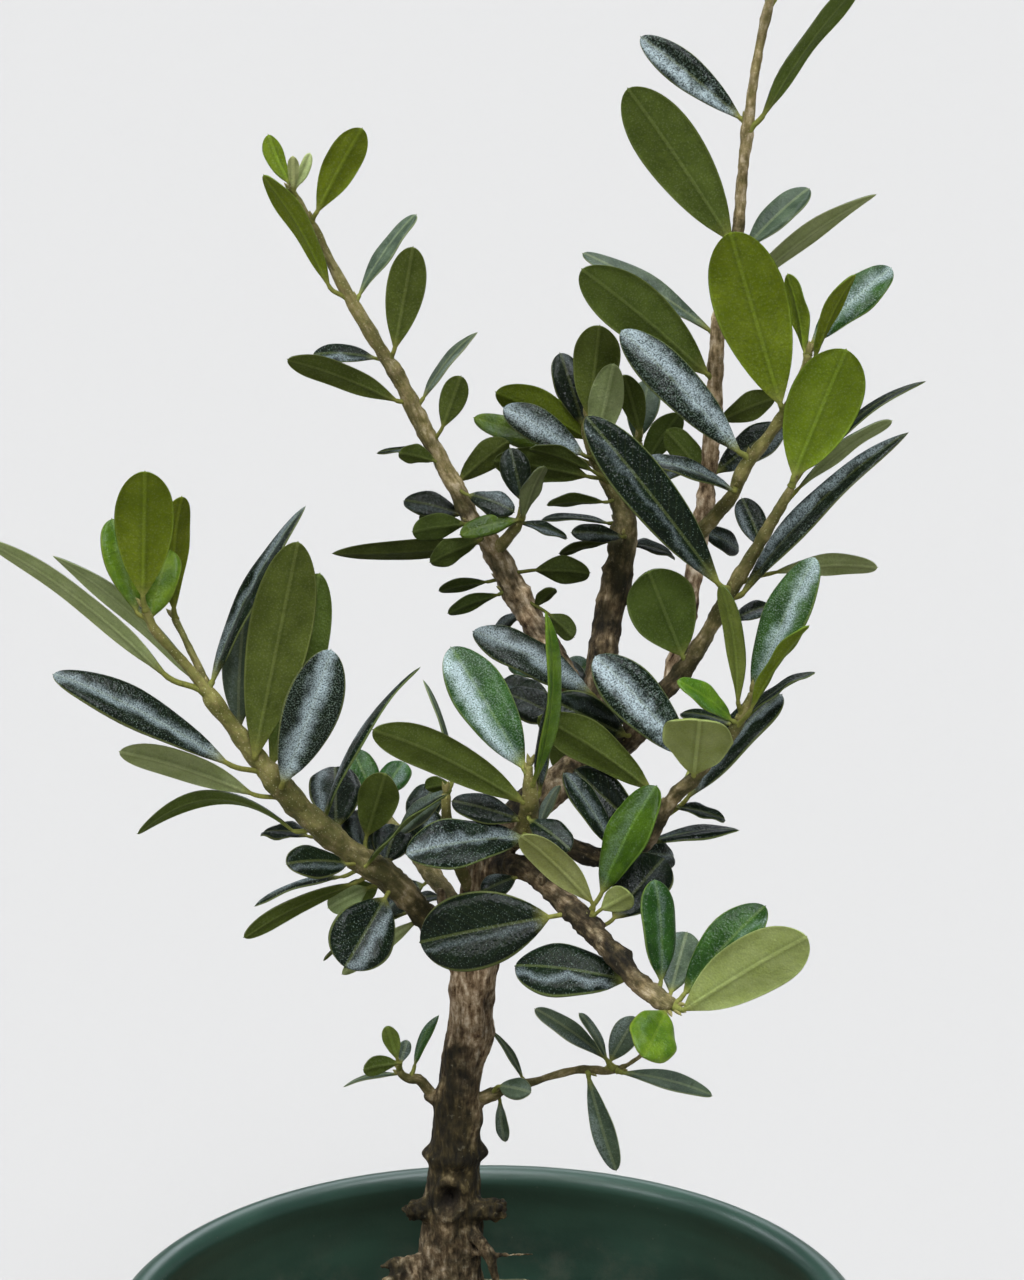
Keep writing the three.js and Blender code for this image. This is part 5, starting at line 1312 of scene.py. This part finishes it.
def away_from(points, centre, flat=(1, 1, 1)):
    """Each point's distance from the centre. flat is how far the shape is drawn out along each axis."""
    return np.linalg.norm((points - centre) / flat, axis=1)


def knot_hole(points, trunk):
    # A sunken hole with a raised lip, darkened inside by painted shade
    away = away_from(points, on_trunk(trunk, *KNOT_HOLE), (1, 1, 1.15))
    return -3.2 * bell(away, 2.1) + 0.9 * bell(away - 3.5, 0.9), np.exp(-((away / 2.7) ** 4))


def scar_ring(points, trunk):
    """A low collar round the trunk with scars on it and a dent below, away from the stubs and roots."""
    on_stem = np.hypot(points[:, 0] + 7, points[:, 1] - 11) < 9
    ring = on_trunk(trunk, RING_UP, 0)[2]
    moved = 0.75 * bell(points[:, 2] - ring, 1.5) * on_stem
    for scar in RING_SCARS:
        moved += 1.2 * bell(away_from(points, on_trunk(trunk, *scar)), 1.8)
    return moved - 0.6 * bell(away_from(points, on_trunk(trunk, *RING_DENT), (1.4, 1, 0.7)), 2.6)


def pruning_scar(points, trunk):
    centre = on_trunk(trunk, *PRUNING_SCAR)
    scar = bell(away_from(points, centre, (1, 1, 1.8)), 1.5)
    lips = bell(away_from(points, centre, (1, 1, 1.6)), 2.8)
    # The sunken middle of the scar is darkened by painted shade
    return 0.7 * lips - 1.7 * scar, 0.55 * scar


def trunk_features(points, trunk):
    """How far each named feature moves the bark out, and how dark the painted shade in its hollows is."""
    moved, hollow = knot_hole(points, trunk)
    moved += scar_ring(points, trunk)
    scar_moved, scar_shade = pruning_scar(points, trunk)
    moved += scar_moved
    hollow = np.maximum(hollow, scar_shade)
    for crack_place in CRACK_PLACES:
        # Painted shade darkens each crack
        crack = bell(away_from(points, on_trunk(trunk, *crack_place)), 0.55)
        moved -= 0.22 * crack
        hollow = np.maximum(hollow, 0.45 * crack)
    for up, bearing, size, depth in BUMPS:
        moved += depth * bell(away_from(points, on_trunk(trunk, up, bearing), (1, 1, 1.3)), size)
    return moved, np.clip(hollow, 0, 1)


def trunk_tones(points):
    heights = [place(-6, up, 10)[2] for up, _ in TRUNK_TONES]
    fair = np.interp(points[:, 2], heights, [fairness for _, fairness in TRUNK_TONES])
    return np.clip(fair + 0.2 * roughness_at(points * [1, 1, 0.35], 8.0, 3), 0.02, 1)


def trunk_parts(trunk):
    skin = Skin()
    for route in WOOD.values():
        wood_tube(skin, Stem.along(route))
    for route in SCRAPS:
        wood_tube(skin, Stem.along(route), sides=12, spacing=0.5)
    for root in ROOTS:
        wood_tube(skin, root_stem(trunk.at(ROOT_HEART), *root))
    return skin.piece("trunk_parts")


def trunk_piece():
    """The trunk with its limbs, stubs and roots as one skin, with its marks and its rough bark pressed in."""
    trunk = Stem.along(WOOD["trunk"])
    points, faces = grown_together(trunk_parts(trunk), TRUNK_VOXEL)
    edges = edges_of(faces)
    points = relaxed(points, edges, SMOOTHING)
    normals = normals_of(points, faces)
    coarse = roughness_at(points * [1, 1, 0.45], 4.5, 3)
    grain = roughness_at(points * [1, 1, 0.22], 1.1, 3)
    flakes = np.maximum(roughness_at(points * [1, 1, 0.5] + 40, 2.0, 3), 0.0)
    foot = smooth_step(points[:, 2], SOIL_TOP + 26, SOIL_TOP + 2)
    top = smooth_step(points[:, 2], place(0, 70, 8)[2], place(10, 100, 9)[2])
    moved, hollow = trunk_features(points, trunk)
    bark = 0.75 * coarse * (1 - 0.5 * top) + 0.3 * grain * (1 - 0.4 * top)
    moved += bark + foot * (0.5 * coarse + 0.9 * flakes)
    ragged = sum(bell(away_from(points, place(*end)), reach) for end, reach in BROKEN_ENDS)
    moved += ragged * (2.4 * roughness_at(points, 1.5, 3) - 0.3)
    # Painted shade darkens the pits of the broken ends
    hollow = np.maximum(hollow, ragged * smooth_step(-roughness_at(points, 1.6, 3), 0.0, 0.5) * 0.8)
    points = relaxed(points + normals * moved[:, None], edges, 1)
    # Painted shade darkens the sunken parts of the bark
    sunken_shade = smooth_step(-grain, 0.3, 0.75) * 0.3 + smooth_step(-coarse, 0.5, 0.9) * 0.25
    skin = Skin()
    skin.add(points, faces, tan=trunk_tones(points), hollow=np.clip(hollow + sunken_shade * (1 - hollow), 0, 1),
             grain_x=points[:, 0], grain_y=points[:, 1], grain_z=points[:, 2] * GRAIN_STRETCH)
    finish_piece(skin.piece("trunk_bark", [MATERIALS["bark"]]), "trunk_and_limbs")


# Branches, twigs and leaves

# How fair the old bark is on most branches, and on the two fairest
OLIVE_TAN = 0.3
TAN = {"leader": 0.7, "upper_left_branch": 0.5}

# How young each stem's skin is at its foot and at its tip
YOUTH = {
    "left_branch": (0.0, 1.4),
    "upper_left_branch": (-0.25, 0.85),
    "central_branch": (-0.25, 0.85),
    "right_branch": (-0.3, 0.8),
    "leader": (-0.2, 0.75),
    "right_lower_branch": (-0.5, 0.8),
    "front_right_branch": (-0.8, 0.4),
    "back_branch": (0.1, 0.9),
    "back_left_branch": (0.1, 0.9),
    "lower_left_twig": (0.2, 0.5),
    "lower_right_twig": (0.2, 0.45),
}
YOUNG = (0.45, 1.0)
TIP_BUD = (2.6, 1.15)


def leaf_piece(stem, row):
    chance = random.Random(row["name"])
    skin = Skin()
    foot = leaf_skin(skin, stem, row, 0, 1, chance)
    thing = skin.piece(f"{row['name']}_blade", [MATERIALS[row["kind"]], MATERIALS["bark"]])
    finish_piece(thing, row["name"])
    return foot


def tip_buds(skin, stem):
    ahead = stem.tangent(1.0)
    for turn in (-1, 1):
        sideways = squared(SHEET_ACROSS * turn + SHEET_UP * 0.2, ahead)
        bud_skin(skin, stem.at(1.0), unit(ahead + sideways * 0.28), *TIP_BUD, 0)


def branch_piece(name, route, leaves):
    """A branch with its small leaves. Each named leaf on it becomes a piece of its own."""
    stem = Stem.along(route)
    chance = random.Random(name)
    kinds = sorted({row["kind"] for row in leaves if not row["name"]})
    skin = Skin()
    feet = []
    for row in leaves:
        if row["name"]:
            feet.append(leaf_piece(stem, row))
        else:
            feet.append(leaf_skin(skin, stem, row, 1 + kinds.index(row["kind"]), 0, chance))
    stem_skin(skin, stem, YOUTH.get(name, YOUNG), TAN.get(name, OLIVE_TAN), feet)
    tip_buds(skin, stem)
    materials = [MATERIALS["bark"]] + [MATERIALS[kind] for kind in kinds]
    finish_piece(skin.piece(f"{name}_growth", materials), name)


# Pot

POT_SEGMENTS = 192
HOLE_SEGMENTS = 40
SHARP_ANGLE = math.radians(38)


def inner_radius(z):
    taper = (RIM_RADIUS - LIP_PROUD - BASE_RADIUS) / (POT_HEIGHT - LIP_HEIGHT)
    return BASE_RADIUS + taper * z - WALL


def lathe(profile, segments):
    """Turns (radius, height) places about Z, where the first and the last lie on the axis."""
    angles = round_turn(segments)
    turned = np.stack([np.cos(angles), np.sin(angles), np.zeros(segments)], axis=1)
    rings = [turned * radius + [0, 0, z] for radius, z in profile[1:-1]]
    points = np.vstack([*rings, [[0, 0, profile[0][1]], [0, 0, profile[-1][1]]]])
    faces = rings_to_faces(len(rings), segments, closed_start=False, closed_end=False)
    first, last = len(rings) * segments, len(rings) * segments + 1
    last_ring = first - segments
    for side in range(segments):
        after = (side + 1) % segments
        faces.append([first, after, side])
        faces.append([last, last_ring + side, last_ring + after])
    return points, faces


def rounded(corner_radius, centre, start, end, steps=6):
    """Places round a corner, from one angle to another."""
    angles = np.radians(np.linspace(start, end, steps))
    x, z = centre
    return [(x + corner_radius * math.cos(a), z + corner_radius * math.sin(a)) for a in angles]


def straight(start, end, steps):
    return [tuple(np.array(start) + (np.array(end) - start) * i / steps) for i in range(1, steps)]


def pot_profile():
    """From the underside's middle, up the outside, over the lip and down the inside to the floor's middle."""
    wall_top = POT_HEIGHT - LIP_HEIGHT
    neck = RIM_RADIUS - LIP_PROUD
    profile = [(0, 1.2), (40, 1.2), (48, 1.2), (49.2, 0), (BASE_RADIUS - 1.6, 0)]
    profile += rounded(1.6, (BASE_RADIUS - 1.6, 1.6), -80, 10)
    profile += straight((BASE_RADIUS, 2), (neck - 0.4, wall_top - 1.4), 24)
    profile += [(neck - 0.3, wall_top - 1.2), (neck, wall_top - 0.5), (neck + 0.5, wall_top)]
    profile += rounded(1, (RIM_RADIUS - 1, wall_top + 1.0), -80, 0)
    profile += straight((RIM_RADIUS, wall_top + 1.2), (RIM_RADIUS, POT_HEIGHT - LIP_PROUD), 4)
    profile += rounded(LIP_PROUD, (neck, POT_HEIGHT - LIP_PROUD), 0, 180, 18)
    profile += straight((neck - LIP_PROUD, POT_HEIGHT - LIP_PROUD), (inner_radius(wall_top), wall_top), 4)
    profile += straight((inner_radius(wall_top), wall_top), (inner_radius(FLOOR + 1.5), FLOOR + 1.5), 24)
    profile += rounded(1.5, (inner_radius(FLOOR) - 1.5, FLOOR + 1.5), 0, -90)
    return profile + [(44, FLOOR), (0, FLOOR)]


def drilled(thing, drills):
    for drill in drills:
        cut = thing.modifiers.new("drill", "BOOLEAN")
        cut.operation, cut.object, cut.solver = "DIFFERENCE", drill, "EXACT"
    whole = thing.evaluated_get(bpy.context.evaluated_depsgraph_get())
    mesh = bpy.data.meshes.new_from_object(whole)
    thing.modifiers.clear()
    thing.data = mesh
    for drill in drills:
        bpy.data.objects.remove(drill)
    mesh.set_sharp_from_angle(angle=SHARP_ANGLE)


def hole_drill(index):
    angle = 2 * math.pi * index / HOLES
    middle = np.array([HOLE_CIRCLE * math.cos(angle), HOLE_CIRCLE * math.sin(angle), 0])
    profile = [(0, -2), (HOLE_RADIUS, -2), (HOLE_RADIUS, 2 * FLOOR), (0, 2 * FLOOR)]
    points, faces = lathe(profile, HOLE_SEGMENTS)
    skin = Skin()
    skin.add(points + middle, faces)
    return skin.piece(f"drill_{index}")


def pot_piece():
    skin = Skin()
    skin.add(*lathe(pot_profile(), POT_SEGMENTS))
    pot = skin.piece("pot_shell", [MATERIALS["pot"]])
    drilled(pot, [hole_drill(index) for index in range(HOLES)])
    finish_piece(pot, "pot")


# Soil

SOIL_SEGMENTS = 240
SOIL_RINGS = 84
CRUMB_COUNT = 2400
FIBRE_COUNT = 110
FIBRE_RINGS = 9
FIBRE_SIDES = 5


def soil_height(x, y):
    """The soil's surface: lumpy, mounded, banked up round the trunk and sunk at the wall."""
    part = np.hypot(x, y) / inner_radius(SOIL_TOP)
    places = np.stack([x, y, np.zeros_like(x)], axis=-1).reshape(-1, 3)
    lumps = 0.9 * roughness_at(places, 11.0, 4) + 0.45 * roughness_at(places + 70, 2.6, 3)
    collar = 2.6 * bell(np.hypot(x + 7, y - 14), 13)
    edge = smooth_step(part, 0.9, 1.0)
    mound = SOIL_MOUND * (1 - part**2) * 0.8
    return SOIL_TOP + mound + lumps.reshape(x.shape) * (1 - 0.6 * edge) + collar - 0.8 * edge


def ball_corners():
    """The 12 corners of a ball of radius 1."""
    golden = (1 + math.sqrt(5)) / 2
    corners = [(0, a, b * golden) for a in (-1, 1) for b in (-1, 1)]
    corners += [(a, b * golden, 0) for a in (-1, 1) for b in (-1, 1)]
    corners += [(b * golden, 0, a) for a in (-1, 1) for b in (-1, 1)]
    return unit(np.array(corners))


def ball_faces():
    """The 20 faces between those corners."""
    ball = bmesh.new()
    for corner in ball_corners():
        ball.verts.new(corner)
    bmesh.ops.convex_hull(ball, input=ball.verts)
    bmesh.ops.recalc_face_normals(ball, faces=ball.faces)
    ball.verts.index_update()
    faces = [[vertex.index for vertex in face.verts] for face in ball.faces]
    ball.free()
    return faces


BALL_CORNERS = ball_corners()
BALL_FACES = ball_faces()


def somewhere(reach, chance):
    """A random place within reach of the axis: its distance and its angle."""
    return reach * math.sqrt(chance.random()), chance.uniform(0, 2 * math.pi)


def crumb_skin(skin, centre, size, chance):
    """One lump of bark, grit or clay: a ball whose corners are each moved by chance."""
    corners = BALL_CORNERS * [[chance.uniform(0.72, 1.25)] for _ in BALL_CORNERS]
    squash = np.array([chance.uniform(0.5, 1.3), chance.uniform(0.5, 1.3), chance.uniform(0.35, 0.8)])
    turn = chance.uniform(0, 2 * math.pi)
    c, s = math.cos(turn), math.sin(turn)
    corners = (corners * squash * size) @ np.array([[c, -s, 0], [s, c, 0], [0, 0, 1]])
    skin.add(corners + centre, BALL_FACES, luck=chance.uniform(0.03, 1),
             rim=np.hypot(*centre[:2]) / inner_radius(SOIL_TOP))


def drop_crumb(skin, reach, chance):
    """Drops one crumb on the soil, clear of the pot's wall. Most are small."""
    distance, angle = somewhere(reach * 0.985, chance)
    size = 0.4 + 1.5 * chance.random() ** 2.6
    limit = min(1, (reach - 1.3 * size) / max(distance, 1))
    x, y = distance * math.cos(angle) * limit, distance * math.sin(angle) * limit
    z = float(soil_height(np.array(x), np.array(y)))
    crumb_skin(skin, np.array([x, y, z + size * chance.uniform(-0.1, 0.3)]), size, chance)


def lay_fibre(skin, chance):
    """A thin bent root hair or straw that lies on the soil."""
    distance, angle = somewhere(inner_radius(SOIL_TOP) * 0.92, chance)
    heading = chance.uniform(0, 2 * math.pi)
    length = chance.uniform(3, 9)
    step = np.linspace(-0.5, 0.5, 5)
    bow = 1 - 4 * step**2
    bend = chance.uniform(-0.25, 0.25) * length * bow
    xs = distance * math.cos(angle) + np.cos(heading) * step * length - np.sin(heading) * bend
    ys = distance * math.sin(angle) + np.sin(heading) * step * length + np.cos(heading) * bend
    inside = np.minimum(1, (inner_radius(SOIL_TOP) - 2) / np.hypot(xs, ys))
    xs, ys = xs * inside, ys * inside
    girth = chance.uniform(0.12, 0.35)
    zs = soil_height(xs, ys) + girth + chance.uniform(0, 0.6) * bow
    stem = Stem(np.stack([xs, ys, zs], axis=1), [girth * 0.5, girth, girth, girth, girth * 0.4])
    skin.add(tube(stem, FIBRE_RINGS, FIBRE_SIDES, SHEET_UP), rings_to_faces(FIBRE_RINGS, FIBRE_SIDES),
             luck=chance.uniform(0.3, 1), rim=0.3)


def soil_bed(skin, reach):
    """The soil's body: a foot on the pot's floor, sides just inside its wall and a lumpy top."""
    parts = np.linspace(1, 0.012, SOIL_RINGS)
    angles = round_turn(SOIL_SEGMENTS)
    x = reach * parts[:, None] * np.cos(angles)[None]
    y = reach * parts[:, None] * np.sin(angles)[None]
    top = np.stack([x, y, soil_height(x, y)], axis=-1)
    sides = []
    for z in (FLOOR + GAP, 40.0, 80.0, SOIL_TOP - 3):
        radius = inner_radius(z) - GAP
        ring = [radius * np.cos(angles), radius * np.sin(angles), np.full(SOIL_SEGMENTS, z)]
        sides.append(np.stack(ring, axis=-1))
    foot = sides[0] * [0.02, 0.02, 1]
    points = np.concatenate([[foot], sides, top])
    rim = np.concatenate([[0], np.ones(len(sides)), parts])
    skin.add(points, rings_to_faces(len(points), SOIL_SEGMENTS), rim=np.repeat(rim, SOIL_SEGMENTS))


def soil_piece():
    reach = inner_radius(SOIL_TOP) - GAP
    skin = Skin()
    soil_bed(skin, reach)
    chance = random.Random("crumbs")
    for _ in range(CRUMB_COUNT):
        drop_crumb(skin, reach, chance)
    for _ in range(FIBRE_COUNT):
        lay_fibre(skin, chance)
    finish_piece(skin.piece("soil_bed", [MATERIALS["soil"]]), "potting_soil")


# Floor, light and camera

FLOOR_HALF = 40.0  # metres
FLOOR_TONE = 0.35
FLOOR_WARMTH = (1.035, 1.0, 0.945)
SKY = 0.13
HORIZON = 0.8
HAZE = (0.04, 0.18)  # the heights between which the horizon's brightness fades into the sky's
SKY_TINT = (0.93, 0.985, 1.08, 1)
HORIZON_TINT = (1.02, 1.0, 0.98, 1)
SUN = 1.1
SUN_BLUR = 34
SUN_TILT = (24, -22)
SUN_TINT = (1.0, 0.985, 0.96)

# Soft bright panels round the plant: each one's bearing, height, half angle, blur and brightness
PANELS = [(60, 82, 18, 5, 9.5), (10, 47, 10, 4, 21.0), (-57, 40, 7, 3, 15.0), (-112, 34, 7, 3, 11.0),
          (170, 42, 12, 6, 5.0)]

SENSOR = 36


def way_to(bearing, height):
    """The way to a place round the plant. Bearing 0 is behind the eye and 90 is on the right."""
    turn, rise = math.radians(bearing), math.radians(height)
    return Vector((math.sin(turn) * math.cos(rise), -math.cos(turn) * math.cos(rise), math.sin(rise)))


def studio_floor():
    corners = [(-1, -1, 0), (1, -1, 0), (1, 1, 0), (-1, 1, 0)]
    mesh = bpy.data.meshes.new("studio_floor")
    mesh.from_pydata([Vector(corner) * FLOOR_HALF for corner in corners], [], [(0, 1, 2, 3)])
    colour = tuple(FLOOR_TONE * part for part in FLOOR_WARMTH) + (1.0,)
    mesh.materials.append(floor_paint("floor", colour))
    floor = linked(bpy.data.objects.new("studio_floor", mesh))


def panel_glow(direction, bearing, height, half, blur, glow):
    """A round bright panel in the sky."""
    inputs = {0: direction, 1: way_to(bearing, height)}
    towards = wire(direction.tree, "VectorMath", inputs, "Value", operation="DOT_PRODUCT")
    outside, inside = math.cos(math.radians(half + blur)), math.cos(math.radians(half - blur))
    return towards.band(outside, inside) * glow


def studio_sky():
    world = bpy.data.worlds.new("studio")
    bpy.context.scene.world = world
    world.use_nodes = True
    tree = world.node_tree
    background = tree.nodes["Background"]
    direction = wire(tree, "TexCoord", {}, "Generated")
    haze = wire(tree, "SeparateXYZ", {0: direction}, "Z").band(*HAZE).between(HORIZON, SKY)
    glow = haze
    for panel in PANELS:
        glow = glow + panel_glow(direction, *panel)
    tint = wire(tree, "MixRGB", {"Fac": haze, "Color1": SKY_TINT, "Color2": HORIZON_TINT})
    feed(tree, background.inputs["Strength"], glow)
    feed(tree, background.inputs["Color"], tint)


def sun_light():
    sun = bpy.data.lights.new("window", "SUN")
    sun.energy = SUN
    sun.angle = math.radians(SUN_BLUR)
    sun.color = SUN_TINT
    lamp = linked(bpy.data.objects.new("window", sun))
    lamp.rotation_euler = (*map(math.radians, SUN_TILT), 0)


def photograph_camera():
    lens = bpy.data.cameras.new("eye")
    lens.sensor_fit = "AUTO"
    lens.sensor_width = SENSOR
    lens.lens = SENSOR * EYE_DISTANCE / SHEET_HEIGHT
    lens.clip_start, lens.clip_end = 0.01, 200
    camera = linked(bpy.data.objects.new("eye", lens))
    camera.location = Vector(EYE * MM)
    camera.rotation_euler = (math.pi / 2 - EYE_PITCH, 0, 0)
    bpy.context.scene.camera = camera


pot_piece()
soil_piece()
trunk_piece()
for branch_name, branch in BRANCHES.items():
    branch_piece(branch_name, **branch)
for limb, limb_leaf in WOOD_LEAVES.items():
    leaf_piece(Stem.along(WOOD[limb]), limb_leaf)
studio_floor()
studio_sky()
sun_light()
photograph_camera()
bpy.context.scene.view_settings.view_transform = "Standard"
